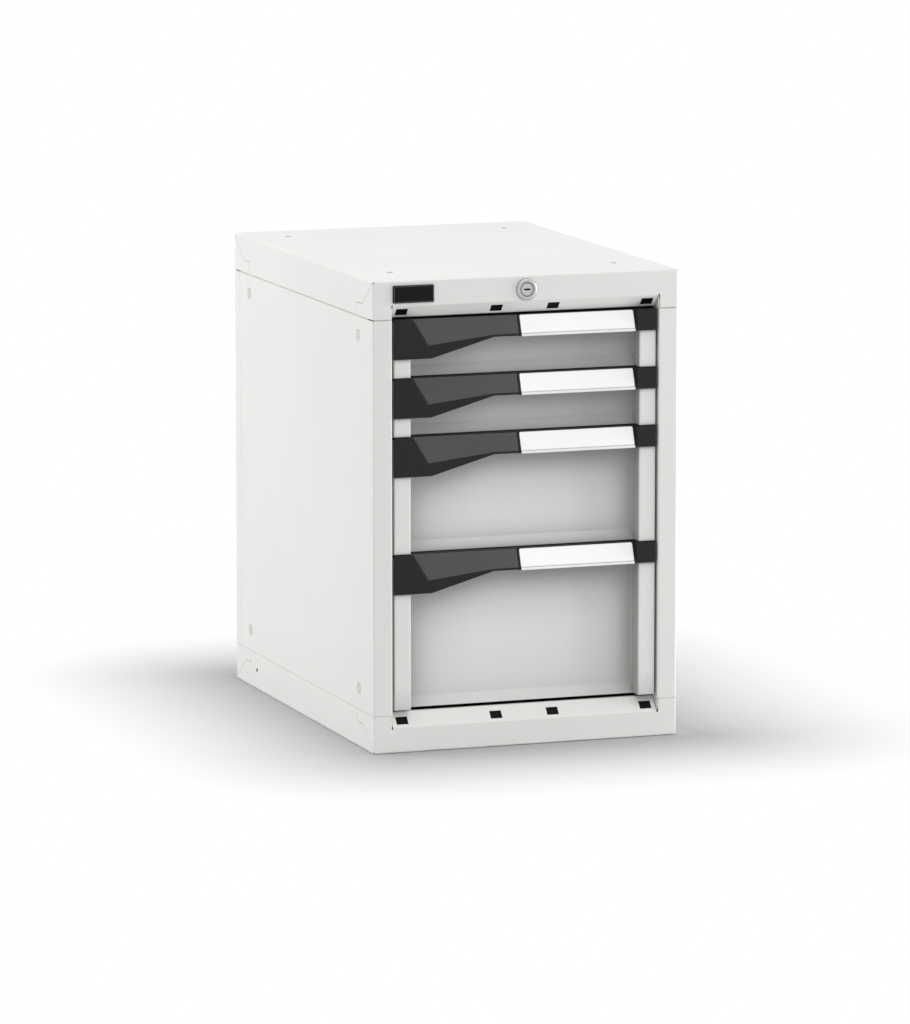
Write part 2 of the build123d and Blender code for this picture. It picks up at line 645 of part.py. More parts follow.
with BuildPart() as handle:
    rib = grip_section(-RIB_OUT, BLOCK_LOW, BLOCK_RIDGE)
    foot = grip_section(SLANT_FOOT, BLOCK_LOW, BLOCK_RIDGE)
    heel = grip_section(HEEL_AT, BLOCK_LOW, HEEL_RIDGE)
    narrow = grip_section(GRIP_NARROW, GRIP_LOW, GRIP_RIDGE)
    loft([rib, foot], ruled=True)
    loft([foot, heel], ruled=True)
    loft([heel, narrow], ruled=True)
    extrude(narrow, amount=GRIP_END - GRIP_NARROW)
    extrude(grip_section(GRIP_END, LABEL_LOW, GRIP_RIDGE), amount=RIB_OUT - GRIP_END)
    add(front_block(left_block))
    add(front_block(end_block))
    extrude(polygon(facing(HANDLE_EDGE), slanted_wall), amount=HANDLE_EDGE - SLOPE_RUN - HANDLE_WALL)
    with BuildSketch(facing(HANDLE_EDGE)):
        with Locations((END_BLOCK, 0)):
            Rectangle(RIB_OUT - END_BLOCK, LABEL_LOW, align=(Align.MIN, Align.MAX))
        with Locations((-RIB_OUT, 0)):
            Rectangle(HANDLE_WALL, BLOCK_LOW, align=(Align.MIN, Align.MAX))
    extrude(amount=HANDLE_EDGE + 2 * BEND - PANEL_BEHIND)
    with BuildSketch(facing(HANDLE_EDGE)):
        with Locations((-POST_OUT, 0)):
            Rectangle(POST_OUT + SLANT_TOP, HANDLE_WALL, align=(Align.MIN, Align.MAX))
        with Locations((POST_OUT, 0)):
            Rectangle(POST_OUT - END_BLOCK, HANDLE_WALL, align=(Align.MAX, Align.MAX))
    extrude(amount=HANDLE_EDGE - PANEL_BACK)
    with BuildSketch(label_face):
        with Locations((0, SLOPE_LONG - LABEL_TOP_RIM)):
            Rectangle(LABEL_LONG + 2 * LABEL_FIT, SLOPE_LONG + BEAD_HIGH, align=(Align.CENTER, Align.MAX))
    extrude(amount=-LABEL_SEAT, mode=Mode.SUBTRACT)
    add(grip_pad(PAD_FIT), mode=Mode.SUBTRACT)

pad = grip_pad(0)


# Label card, and the clear cover over it with a bead along its lower edge
def label_outline(behind):
    """Outline of the label with rounded upper corners, a distance behind the sloped face."""
    with BuildSketch(label_face.offset(-behind)) as outline:
        with Locations((0, LABEL_HIGH)):
            Rectangle(LABEL_LONG, LABEL_HIGH, align=(Align.CENTER, Align.MAX))
        fillet(outline.vertices().group_by(Axis.Z)[-1], radius=LABEL_CORNER)
    return outline.sketch


with BuildPart() as label_card:
    extrude(label_outline(LABEL_SEAT), amount=CARD_THICK)

with BuildPart() as label_cover:
    extrude(label_outline(LABEL_SEAT - CARD_THICK - CARD_GAP), amount=COVER_THICK)
    with BuildSketch(label_face.offset(-LABEL_SEAT)):
        Rectangle(LABEL_LONG, BEAD_HIGH, align=(Align.CENTER, Align.MAX))
    extrude(amount=LABEL_SEAT + BEAD_OUT)
    crown = label_cover.edges().filter_by(Axis.X).group_by(Axis.Y)[0]
    fillet(crown, radius=BEAD_ROUND)

# Drawers, from the top down
HEM_START = LUG_BEHIND + LUG_FOOT + END_PLAY
drawer_top = HEIGHT - SKIRT - HEAD_GAP
for number, units in enumerate(DRAWER_UNITS, start=1):
    pitch = units * MODULE
    bottom = drawer_top - pitch
    handle_top = drawer_top - HANDLE_DROP
    wall_top = drawer_top - WALL_DROP
    tray_floor = bottom + FLOOR_RISE
    runner = Pos(0, 0, bottom + RUNNER_RISE)
    tray_mid = FRONT + (PANEL_BACK + TRAY_BACK) / 2

    with BuildPart() as tray:
        with BuildSketch(Plane.XY.offset(tray_floor)):
            with Locations((0, tray_mid)):
                Rectangle(2 * TRAY_SIDE, TRAY_BACK - PANEL_BACK)
        extrude(amount=wall_top - tray_floor)
        offset(amount=-TRAY_SHEET, openings=tray.faces().sort_by(Axis.Z)[-1])
        with BuildSketch(Plane.YZ):
            with Locations((tray_mid, (wall_top + tray_floor) / 2)):
                with GridLocations(DIVIDER_PITCH, 0, round(TRAY_LONG / DIVIDER_PITCH) - 1, 1):
                    Rectangle(DIVIDER_SLOT, wall_top - tray_floor - 2 * DIVIDER_MARGIN)
        extrude(amount=WIDTH, both=True, mode=Mode.SUBTRACT)
        with BuildSketch(Plane.XY.offset(wall_top)):
            with Locations((-TRAY_SIDE, FRONT + HEM_START), (TRAY_SIDE, FRONT + HEM_START)):
                Rectangle(2 * TRAY_HEM, TRAY_BACK - HEM_START, align=(Align.CENTER, Align.MIN))
            with Locations((0, tray_mid)):
                Rectangle(2 * (TRAY_SIDE - TRAY_SHEET), TRAY_LONG, mode=Mode.SUBTRACT)
        extrude(amount=TRAY_SHEET)
    save(tray.part, f"drawer_{number}_tray")

    front_path = [
        (-POST_OUT, FRONT + PANEL_BACK),
        (-POST_OUT, FRONT + POST_BEHIND),
        (-POST_IN, FRONT + POST_BEHIND),
        (-POST_IN, FRONT + PANEL_BEHIND),
        (POST_IN, FRONT + PANEL_BEHIND),
        (POST_IN, FRONT + POST_BEHIND),
        (POST_OUT, FRONT + POST_BEHIND),
        (POST_OUT, FRONT + PANEL_BACK),
    ]
    lip_path = [
        (FRONT + PANEL_BEHIND, bottom + LIP_HIGH + LIP_ROOT),
        (FRONT + PANEL_BEHIND, bottom + LIP_HIGH),
        (FRONT + PANEL_BEHIND - LIP_OUT, bottom + FRONT_RISE),
    ]
    with BuildPart() as front:
        section = folded(Plane.XY.offset(bottom + FRONT_RISE), front_path, SHEET, BEND)
        extrude(section, amount=handle_top - HANDLE_WALL - bottom - FRONT_RISE)
        with BuildSketch(facing(PANEL_BEHIND - BEND)):
            with Locations((0, bottom)):
                Rectangle(2 * POST_IN, LIP_HIGH, align=(Align.CENTER, Align.MIN))
        extrude(amount=-2 * BEND, mode=Mode.SUBTRACT)
        extrude(folded(Plane.YZ, lip_path, SHEET, 2 * BEND), amount=POST_IN, both=True)
    save(front.part, f"drawer_{number}_front")

    save(Pos(0, 0, handle_top) * handle.part, f"drawer_{number}_handle")
    save(Pos(0, 0, handle_top) * pad, f"drawer_{number}_grip_pad")
    save(Pos(0, 0, handle_top) * label_card.part, f"drawer_{number}_label_card")
    save(Pos(0, 0, handle_top) * label_cover.part, f"drawer_{number}_label_cover")
    save(runner * drawer_rails.part, f"drawer_{number}_rails")
    save(runner * cabinet_rails.part, f"cabinet_{number}_rails")
    save(runner * front_rollers, f"cabinet_{number}_rollers")
    save(runner * rear_rollers, f"drawer_{number}_rollers")
    drawer_top = bottom

# Lock: body with a collar, plug with a keyway, nut behind the skirt, cam with a pin
lock_axis = Axis((0, 0, LOCK_HIGH), (0, 1, 0))
body_half = [
    (LOCK_PLUG_R + LOCK_FIT, -COLLAR_OUT),
    (LOCK_COLLAR_R - COLLAR_SLOPE, -COLLAR_OUT),
    (LOCK_COLLAR_R, -COLLAR_RIM),
    (LOCK_COLLAR_R, 0),
    (BARREL_R, 0),
    (BARREL_R, BARREL_LONG),
    (LOCK_PLUG_R + LOCK_FIT, BARREL_LONG),
]
with BuildPart() as lock_body:
    revolve(
        polygon(Plane.XY.offset(LOCK_HIGH), [(radius, FRONT + behind) for radius, behind in body_half]),
        axis=lock_axis,
    )
save(lock_body.part, "lock_body")

with BuildPart() as lock_nut:
    with BuildSketch(facing(SHEET)):
        with Locations((0, LOCK_HIGH)):
            RegularPolygon(NUT_ACROSS / 2, 6, major_radius=False)
            Circle(BARREL_R + NUT_FIT, mode=Mode.SUBTRACT)
    extrude(amount=-NUT_THICK)
save(lock_nut.part, "lock_nut")

PLUG_FACE = COLLAR_OUT - LOCK_FIT
PLUG_END = BARREL_LONG + LOCK_FIT
with BuildPart() as lock_plug:
    with BuildSketch(facing(-PLUG_FACE)):
        with Locations((0, LOCK_HIGH)):
            Circle(LOCK_PLUG_R)
    extrude(amount=-PLUG_FACE - PLUG_END)
    with BuildSketch(facing(PLUG_END)):
        with Locations((0, LOCK_HIGH)):
            Rectangle(TAIL, TAIL)
    extrude(amount=-TAIL_LONG)
    with BuildSketch(facing(-PLUG_FACE)):
        with Locations((0, LOCK_HIGH)):
            SlotOverall(KEYWAY[0], KEYWAY[1])
    extrude(amount=-KEYWAY[2], mode=Mode.SUBTRACT)
save(lock_plug.part, "lock_plug")

CAM_BEHIND = PLUG_END + LOCK_FIT
PIN_ACROSS = CAM_THROW * sin(radians(TURN / 2))
PIN_DOWN = CAM_THROW * cos(radians(TURN / 2))
PIN_REACH = SLIDER_BEHIND + SLIDER_THICK + PIN_OVER
with BuildPart() as lock_cam:
    with BuildSketch(facing(CAM_BEHIND)):
        with Locations((0, LOCK_HIGH)):
            Circle(CAM_HUB_R)
        with Locations((PIN_ACROSS, LOCK_HIGH - PIN_DOWN)):
            Circle(CAM_END_R)
        with Locations((0, LOCK_HIGH)):
            Rectangle(TAIL + LOCK_FIT, TAIL + LOCK_FIT, mode=Mode.SUBTRACT)
    extrude(amount=-CAM_THICK)
    with BuildSketch(facing(CAM_BEHIND + CAM_THICK)):
        with Locations((PIN_ACROSS, LOCK_HIGH - PIN_DOWN)):
            Circle(PIN_R)
    extrude(amount=CAM_BEHIND + CAM_THICK - PIN_REACH)
save(lock_cam.part, "lock_cam")

# Slider behind the cover's front: an upright slot for the cam's pin, a slanted one for the lock bar
SLIDER_MID = LOCK_HIGH - (PIN_DOWN + CAM_THROW) / 2
HEAD_MID = BAR_PIN_AT + TRAVEL_PIN / 2
BAR_PIN_UP = SLIDER_MID + TRAVEL_PIN / 2
with BuildPart() as lock_slider:
    with BuildSketch(facing(SLIDER_BEHIND)):
        with Locations((PIN_ACROSS, SLIDER_MID)):
            Rectangle(HEAD_MID - PIN_ACROSS, SLIDER_TALL, align=(Align.MIN, Align.CENTER))
            Rectangle(SLIDER_TALL, SLIDER_HEAD)
        with Locations((HEAD_MID, SLIDER_MID)):
            Rectangle(SLIDER_HEAD, SLIDER_HEAD)
        with Locations((PIN_ACROSS, SLIDER_MID)):
            SlotCenterToCenter(
                CAM_THROW - PIN_DOWN + PIN_FIT, 2 * (PIN_R + PIN_FIT), rotation=90, mode=Mode.SUBTRACT
            )
        with Locations((HEAD_MID, SLIDER_MID)):
            SlotCenterToCenter(
                hypot(TRAVEL_PIN, TRAVEL_PIN) + PIN_FIT,
                2 * (PIN_R + PIN_FIT),
                rotation=-45,
                mode=Mode.SUBTRACT,
            )
    extrude(amount=-SLIDER_THICK)
save(lock_slider.part, "lock_slider")

GUIDE_DROP = HEIGHT - SHEET - SLIDER_MID + SLIDER_TALL / 2 + GUIDE_WALL
with BuildPart() as slider_guides:
    with BuildSketch(facing(SLIDER_BEHIND - GUIDE_WALL)):
        with Locations(*[(across, HEIGHT - SHEET) for across in SLIDER_GUIDES]):
            Rectangle(GUIDE_TALL, GUIDE_DROP, align=(Align.CENTER, Align.MAX))
    extrude(amount=-2 * GUIDE_WALL - SLIDER_THICK)
    with BuildSketch(facing(SLIDER_BEHIND - GUIDE_FIT)):
        with Locations((0, SLIDER_MID)):
            Rectangle(WIDTH, SLIDER_TALL + 2 * GUIDE_FIT)
    extrude(amount=-2 * GUIDE_FIT - SLIDER_THICK, mode=Mode.SUBTRACT)
save(slider_guides.part, "slider_guides")

# Lock bar beside the drawers with a pin in the slider's slot, and one welded tooth over each drawer's lug
LEVEL_LOW = SKIRT + SILL_GAP
levels = [LEVEL_LOW + MODULE * sum(DRAWER_UNITS[place:]) for place in range(1, len(DRAWER_UNITS) + 1)]
TOOTH_UP = LUG_TOP + LUG_LIFT
BAR_EDGE = BAR_IN - BAR_WIDE / 2
with BuildPart() as lock_bar:
    with BuildSketch(facing(BAR_BEHIND)):
        with Locations((BAR_IN, LEVEL_LOW + TOOTH_UP)):
            Rectangle(
                BAR_WIDE,
                BAR_PIN_UP + BAR_HEAD_R - LEVEL_LOW - TOOTH_UP,
                align=(Align.CENTER, Align.MIN),
            )
        with Locations((BAR_PIN_AT, BAR_PIN_UP)):
            Rectangle(BAR_PIN_IN, 2 * BAR_HEAD_R, align=(Align.MIN, Align.CENTER))
            Circle(BAR_HEAD_R)
    extrude(amount=-BAR_THICK)
    with BuildSketch(facing(BAR_BEHIND + BAR_THICK)):
        with Locations((BAR_PIN_AT, BAR_PIN_UP)):
            Circle(PIN_R)
    extrude(amount=BAR_BEHIND + BAR_THICK - PIN_REACH)
save(lock_bar.part, "lock_bar")

with BuildPart() as lock_bar_teeth:
    with BuildSketch(facing(BAR_BEHIND)):
        with Locations(*[(BAR_EDGE, level + TOOTH_UP) for level in levels]):
            Rectangle(BAR_EDGE - POST_OUT + TOOTH_LAP, TOOTH_TALL, align=(Align.MAX, Align.MIN))
    extrude(amount=-BAR_THICK)
save(lock_bar_teeth.part, "lock_bar_teeth")

# Guides of the lock bar on the front upright, beside the two lowest drawers
UPRIGHT_NEAR = UPRIGHT_FRONT - UPRIGHT_WIDE / 2
GUIDE_DEEP = UPRIGHT_NEAR - BAR_BEHIND + GUIDE_WALL
with BuildPart() as lock_bar_guides:
    for level in levels[-2:]:
        with BuildSketch(Plane.XY.offset(level + BAR_GUIDE_UP)):
            with Locations((BAR_IN, FRONT + UPRIGHT_NEAR)):
                Rectangle(BAR_WIDE + 2 * GUIDE_WALL, GUIDE_DEEP, align=(Align.CENTER, Align.MAX))
            with Locations((BAR_IN, FRONT + BAR_BEHIND - GUIDE_FIT)):
                Rectangle(
                    BAR_WIDE + 2 * GUIDE_FIT,
                    BAR_THICK + 2 * GUIDE_FIT,
                    align=(Align.CENTER, Align.MIN),
                    mode=Mode.SUBTRACT,
                )
        extrude(amount=GUIDE_TALL)
save(lock_bar_guides.part, "lock_bar_guides")

# Blank badge plate on the cover's front
with BuildPart() as badge_plate:
    with BuildSketch(facing(0)):
        with Locations((BADGE_SIDE - SIDE, HEIGHT - BADGE_DOWN)):
            Rectangle(BADGE_LONG, BADGE_TALL, align=(Align.MIN, Align.MAX))
    extrude(amount=BADGE_THICK)
    fillet(badge_plate.edges().filter_by(Axis.Y), radius=BADGE_CORNER)
    chamfer(badge_plate.faces().sort_by(Axis.Y)[0].edges(), length=BADGE_EDGE)
save(badge_plate.part, "badge_plate")
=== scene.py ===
"""Looks of a white steel workshop cabinet with four drawers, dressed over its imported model."""

import json
import logging
import math
from dataclasses import dataclass
from enum import Enum

import bmesh
import bpy
import numpy as np
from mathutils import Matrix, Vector


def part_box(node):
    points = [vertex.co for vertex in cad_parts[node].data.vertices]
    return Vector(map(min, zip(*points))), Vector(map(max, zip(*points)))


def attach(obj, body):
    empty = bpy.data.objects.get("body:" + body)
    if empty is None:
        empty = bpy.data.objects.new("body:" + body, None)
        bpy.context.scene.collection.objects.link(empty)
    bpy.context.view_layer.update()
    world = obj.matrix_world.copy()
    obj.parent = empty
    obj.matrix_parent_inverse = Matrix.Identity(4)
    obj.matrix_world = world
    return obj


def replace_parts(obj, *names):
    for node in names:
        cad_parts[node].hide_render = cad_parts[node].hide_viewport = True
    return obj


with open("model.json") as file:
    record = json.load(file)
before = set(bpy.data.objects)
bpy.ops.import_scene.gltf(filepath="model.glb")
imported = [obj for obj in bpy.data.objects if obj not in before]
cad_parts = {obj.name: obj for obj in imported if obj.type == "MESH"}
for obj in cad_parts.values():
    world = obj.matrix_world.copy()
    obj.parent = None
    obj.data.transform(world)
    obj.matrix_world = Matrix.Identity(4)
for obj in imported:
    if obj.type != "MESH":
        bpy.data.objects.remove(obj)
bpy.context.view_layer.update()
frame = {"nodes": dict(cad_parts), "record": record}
LOG = logging.getLogger("cabinet")
MM = 0.001
DRAWERS = 4
TURN = 2.0 * math.pi
TINY = 1e-9
Colour = tuple[float, float, float]
ColourAlpha = tuple[float, float, float, float]
Triple = tuple[float, float, float]
Span = tuple[float, float]
Inputs = dict[str | int, object]
UNIT: Span = (0.0, 1.0)
ORIGIN: Triple = (0.0, 0.0, 0.0)
BLACK: Colour = (0.0, 0.0, 0.0)
WHITE: Colour = (1.0, 1.0, 1.0)


class Slot(Enum):
    """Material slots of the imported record."""

    BODY_PAINT = "body_paint"
    DRAWER_PAINT = "drawer_paint"
    TRAY_PAINT = "tray_paint"
    ZINC = "zinc"
    PLUG_WHITE = "plug_white"
    CAP_BLACK = "cap_black"
    BADGE_BLACK = "badge_black"
    LOCK_NICKEL = "lock_nickel"
    LOCK_STEEL = "lock_steel"
    GUIDE_NYLON = "guide_nylon"
    ROLLER_NYLON = "roller_nylon"
    HANDLE_BLACK = "handle_black"
    GRIP_GREY = "grip_grey"
    LABEL_WHITE = "label_white"
    LABEL_CLEAR = "label_clear"


class SocketKind(Enum):
    """Kinds of socket on a shader node group."""

    VALUE = "NodeSocketFloat"
    VECTOR = "NodeSocketVector"


class Across(Enum):
    """Side of the cabinet, as the sign of X."""

    LEFT = -1
    RIGHT = 1


def rgba(colour: Colour, gain: float = 1.0) -> ColourAlpha:
    """Colour times a gain, held to white, as the four numbers that a colour socket takes."""
    red, green, blue = (min(1.0, gain * part) for part in colour)
    return red, green, blue, 1.0


def around(middle: float, spread: Span) -> Span:
    """Range that reaches below and above a middle value by the two numbers of the spread."""
    return middle - spread[0], middle + spread[1]


class NodeBench:
    """Places nodes in one node tree and joins their sockets.

    The colour sockets of a mix node share their names with others, so they go by their place.
    """

    MIX_FIRST = 6
    MIX_SECOND = 7
    MIX_RESULT = 2

    def __init__(self, tree: bpy.types.NodeTree) -> None:
        """Keep the tree that the nodes go into."""
        self.tree = tree

    def node(self, kind: str, inputs: Inputs | None = None, **settings: object) -> bpy.types.Node:
        """Add one node.

        Args:
            kind: Blender's name of the node.
            inputs: Value or feeding socket for each input, by its name or place.
            settings: Plain properties of the node.

        Returns:
            The new node.
        """
        made = self.tree.nodes.new(kind)
        for name, value in settings.items():
            setattr(made, name, value)
        self.feed(made, inputs or {})
        return made

    def feed(self, node: bpy.types.Node, inputs: Inputs) -> None:
        """Give a node's inputs their values or link the sockets that feed them.

        Args:
            node: The node.
            inputs: Value or feeding socket for each input, by its name or place.
        """
        for key, value in inputs.items():
            if isinstance(value, bpy.types.NodeSocket):
                self.tree.links.new(value, node.inputs[key])
            else:
                node.inputs[key].default_value = value

    def math(self, operation: str, first: object, second: object) -> bpy.types.NodeSocket:
        """Result socket of one arithmetic step on two values."""
        return self.node("ShaderNodeMath", {0: first, 1: second}, operation=operation).outputs[0]

    def vector(
        self, operation: str, first: object, second: object = ORIGIN
    ) -> bpy.types.NodeSocket:
        """Result socket of one vector step: a value for a length or dot product, else a vector."""
        made = self.node("ShaderNodeVectorMath", {0: first, 1: second}, operation=operation)
        return made.outputs["Value" if operation in ("LENGTH", "DOT_PRODUCT") else "Vector"]

    def ramp(self, value: object, span: Span, result: Span) -> bpy.types.NodeSocket:
        """Socket of a straight ramp that carries a span of values to a result, held at its ends.

        Args:
            value: The value or its socket.
            span: Values where the ramp starts and stops.
            result: What it gives there.

        Returns:
            The result socket.
        """
        inputs: Inputs = {"Value": value, "From Min": span[0], "From Max": span[1]}
        inputs |= {"To Min": result[0], "To Max": result[1]}
        return self.node("ShaderNodeMapRange", inputs).outputs["Result"]

    def blend(self, share: object, first: object, second: object) -> bpy.types.NodeSocket:
        """Colour socket that goes from the first colour to the second as the share grows."""
        inputs: Inputs = {0: share, self.MIX_FIRST: first, self.MIX_SECOND: second}
        return self.node("ShaderNodeMix", inputs, data_type="RGBA").outputs[self.MIX_RESULT]

    def noise(self, vector: object, scale: object, detail: float) -> bpy.types.NodeSocket:
        """Value socket of a cloud pattern, its scale in cycles to the metre."""
        inputs: Inputs = {"Vector": vector, "Scale": scale, "Detail": detail}
        return self.node("ShaderNodeTexNoise", inputs).outputs["Fac"]

    def place(self) -> bpy.types.NodeSocket:
        """Object coordinates, which are metres in the cabinet's own frame."""
        return self.node("ShaderNodeTexCoord").outputs["Object"]

    def effect(self, group: bpy.types.NodeTree, inputs: Inputs) -> bpy.types.NodeOutputs:
        """Outputs of a shared effect that is placed here and fed."""
        return self.node("ShaderNodeGroup", inputs, node_tree=group).outputs

    def bump(
        self, height: object, depth: float, normal: bpy.types.NodeSocket | None = None
    ) -> bpy.types.NodeSocket:
        """Normal socket of a bump.

        Args:
            height: Height socket, 0 to 1.
            depth: Depth of the relief in metres.
            normal: Normal that the bump starts from, where it isn't the surface's own.

        Returns:
            The bumped normal.
        """
        inputs: Inputs = {"Strength": 1.0, "Distance": depth, "Height": height}
        if normal is not None:
            inputs["Normal"] = normal
        return self.node("ShaderNodeBump", inputs).outputs["Normal"]


def empty_material(name: str) -> tuple[bpy.types.Material, NodeBench]:
    """Make a node material with no nodes yet.

    Args:
        name: Name of the material.

    Returns:
        The material and the bench of its tree.
    """
    material = bpy.data.materials.new(name)
    material.use_nodes = True
    material.node_tree.nodes.clear()
    return material, NodeBench(material.node_tree)


class SurfaceEffects:
    """Shader effects that several finishes share, each built once as a node group."""

    FINE_SHARE = 0.65
    FINE_DETAIL = 2.0
    BROAD_CELLS = 0.31
    BROAD_DETAIL = 1.0
    CLOUD_SCALE = 7.0
    CLOUD_DETAIL = 4.0
    CLOUD_SPAN: Span = (0.3, 0.7)
    BEVEL_SAMPLES = 6
    EDGE_SPAN: Span = (0.98, 0.8)
    WEAR_SCALE = 60.0
    WEAR_DETAIL = 5.0
    WEAR_SPAN: Span = (0.42, 0.62)
    WEAR_SHARES: Span = (0.15, 1.0)
    DUST_SHADE_SAMPLES = 4
    DUST_SHADE_SPAN: Span = (0.9, 0.35)
    PATCH_SCALE = 38.0
    PATCH_DETAIL = 4.0
    PATCH_SPAN: Span = (0.35, 0.65)
    PATCH_SHARES: Span = (0.3, 1.0)
    # Painted shade: ambient occlusion turned into a share that darkens colours.
    SHADE_SAMPLES = 8
    SHADE_SPAN: Span = (1.0, 0.72)
    SHADE_SHARES: Span = (0.0, 0.5)
    LINE_DETAIL = 3.0

    def __init__(self) -> None:
        """Build every group."""
        self.grain = self._grain()
        self.edges = self._edges()
        self.dust_and_shade = self._dust_and_shade()
        self.painted_shade = self._painted_shade()
        self.streaks = self._streaks()

    @staticmethod
    def _open(
        name: str, inputs: dict[str, SocketKind], outputs: dict[str, SocketKind]
    ) -> tuple[NodeBench, dict[str, bpy.types.NodeSocket], bpy.types.Node]:
        """Start a node group.

        Args:
            name: Name of the group.
            inputs: Sockets it takes, by name.
            outputs: Sockets it gives, by name.

        Returns:
            The bench to build on, the input sockets by name, and the output node.
        """
        tree = bpy.data.node_groups.new(name, "ShaderNodeTree")
        for side, sockets in (("INPUT", inputs), ("OUTPUT", outputs)):
            for label, kind in sockets.items():
                tree.interface.new_socket(label, in_out=side, socket_type=kind.value)
        bench = NodeBench(tree)
        given = bench.node("NodeGroupInput").outputs
        return bench, {label: given[label] for label in inputs}, bench.node("NodeGroupOutput")

    def _grain(self) -> bpy.types.NodeTree:
        """Fine cells for the relief of a coat or a moulding, and slow clouds for its tone.

        Returns:
            The group.
        """
        bench, given, out = self._open(
            "CoatGrain",
            {"Place": SocketKind.VECTOR, "Cells": SocketKind.VALUE},
            {"Height": SocketKind.VALUE, "Clouds": SocketKind.VALUE},
        )
        cells = bench.noise(given["Place"], given["Cells"], self.FINE_DETAIL)
        wide = bench.math("MULTIPLY", given["Cells"], self.BROAD_CELLS)
        broad = bench.noise(given["Place"], wide, self.BROAD_DETAIL)
        fine = bench.math("MULTIPLY", cells, self.FINE_SHARE)
        rest = bench.math("MULTIPLY", broad, 1.0 - self.FINE_SHARE)
        clouds = bench.noise(given["Place"], self.CLOUD_SCALE, self.CLOUD_DETAIL)
        bench.feed(out, {"Height": bench.math("ADD", fine, rest)})
        bench.feed(out, {"Clouds": bench.ramp(clouds, self.CLOUD_SPAN, UNIT)})
        return bench.tree

    def _edges(self) -> bpy.types.NodeTree:
        """Softened normals at sharp edges, and a broken mask of the edges for wear.

        Returns:
            The group.
        """
        bench, given, out = self._open(
            "EdgeWear",
            {"Place": SocketKind.VECTOR, "Round": SocketKind.VALUE},
            {"Mask": SocketKind.VALUE, "Normal": SocketKind.VECTOR},
        )
        radius: Inputs = {"Radius": given["Round"]}
        bevel = bench.node("ShaderNodeBevel", radius, samples=self.BEVEL_SAMPLES)
        eased = bevel.outputs["Normal"]
        flat = bench.node("ShaderNodeNewGeometry").outputs["Normal"]
        bare = bench.ramp(bench.vector("DOT_PRODUCT", eased, flat), self.EDGE_SPAN, UNIT)
        wear = bench.noise(given["Place"], self.WEAR_SCALE, self.WEAR_DETAIL)
        broken = bench.ramp(wear, self.WEAR_SPAN, self.WEAR_SHARES)
        bench.feed(out, {"Mask": bench.math("MULTIPLY", bare, broken), "Normal": eased})
        return bench.tree

    def _dust_and_shade(self) -> bpy.types.NodeTree:
        """Patchy mask of dust and painted shade in inner corners and seams.

        Returns:
            The group.
        """
        bench, given, out = self._open(
            "CornerDustAndShade",
            {"Place": SocketKind.VECTOR, "Reach": SocketKind.VALUE},
            {"Mask": SocketKind.VALUE},
        )
        # Dust and painted shade: occlusion darkens seams and corners, strong enough to read as
        # shade lines.
        corner = bench.ramp(self._open_share(bench, given, self.DUST_SHADE_SAMPLES), self.DUST_SHADE_SPAN, UNIT)
        patches = bench.noise(given["Place"], self.PATCH_SCALE, self.PATCH_DETAIL)
        patchy = bench.ramp(patches, self.PATCH_SPAN, self.PATCH_SHARES)
        bench.feed(out, {"Mask": bench.math("MULTIPLY", corner, patchy)})
        return bench.tree

    def _painted_shade(self) -> bpy.types.NodeTree:
        """Share of the light that near pieces keep off a surface, which finishes use to paint shade
        into their colour.

        Returns:
            The group.
        """
        bench, given, out = self._open(
            "PaintedShade", {"Reach": SocketKind.VALUE}, {"Share": SocketKind.VALUE}
        )
        seen = self._open_share(bench, given, self.SHADE_SAMPLES)
        bench.feed(out, {"Share": bench.ramp(seen, self.SHADE_SPAN, self.SHADE_SHARES)})
        return bench.tree

    @staticmethod
    def _open_share(
        bench: NodeBench, given: dict[str, bpy.types.NodeSocket], samples: int
    ) -> bpy.types.NodeSocket:
        """Share of the directions that are open as far as the group's reach."""
        inputs: Inputs = {"Distance": given["Reach"]}
        return bench.node("ShaderNodeAmbientOcclusion", inputs, samples=samples).outputs["AO"]

    def _streaks(self) -> bpy.types.NodeTree:
        """Fine parallel lines: a cloud pattern drawn out by different scales along the axes.

        Returns:
            The group.
        """
        bench, given, out = self._open(
            "RollLines",
            {"Place": SocketKind.VECTOR, "Stretch": SocketKind.VECTOR},
            {"Lines": SocketKind.VALUE},
        )
        drawn = bench.vector("MULTIPLY", given["Place"], given["Stretch"])
        bench.feed(out, {"Lines": bench.noise(drawn, 1.0, self.LINE_DETAIL)})
        return bench.tree


@dataclass(frozen=True)
class Finish:
    """Base of the finishes: a named material with one Principled shader."""

    name: str

    def build(self, effects: SurfaceEffects) -> bpy.types.Material:
        """Make the material and dress its shader.

        Args:
            effects: The shared node groups.

        Returns:
            The new material.
        """
        material, bench = empty_material(self.name)
        shader = bench.node("ShaderNodeBsdfPrincipled")
        bench.node("ShaderNodeOutputMaterial", {"Surface": shader.outputs["BSDF"]})
        self.dress(bench, shader, effects)
        return material

    def dress(self, bench: NodeBench, shader: bpy.types.Node, effects: SurfaceEffects) -> None:
        """Feed the shader, which each finish does in its own way."""
        raise NotImplementedError


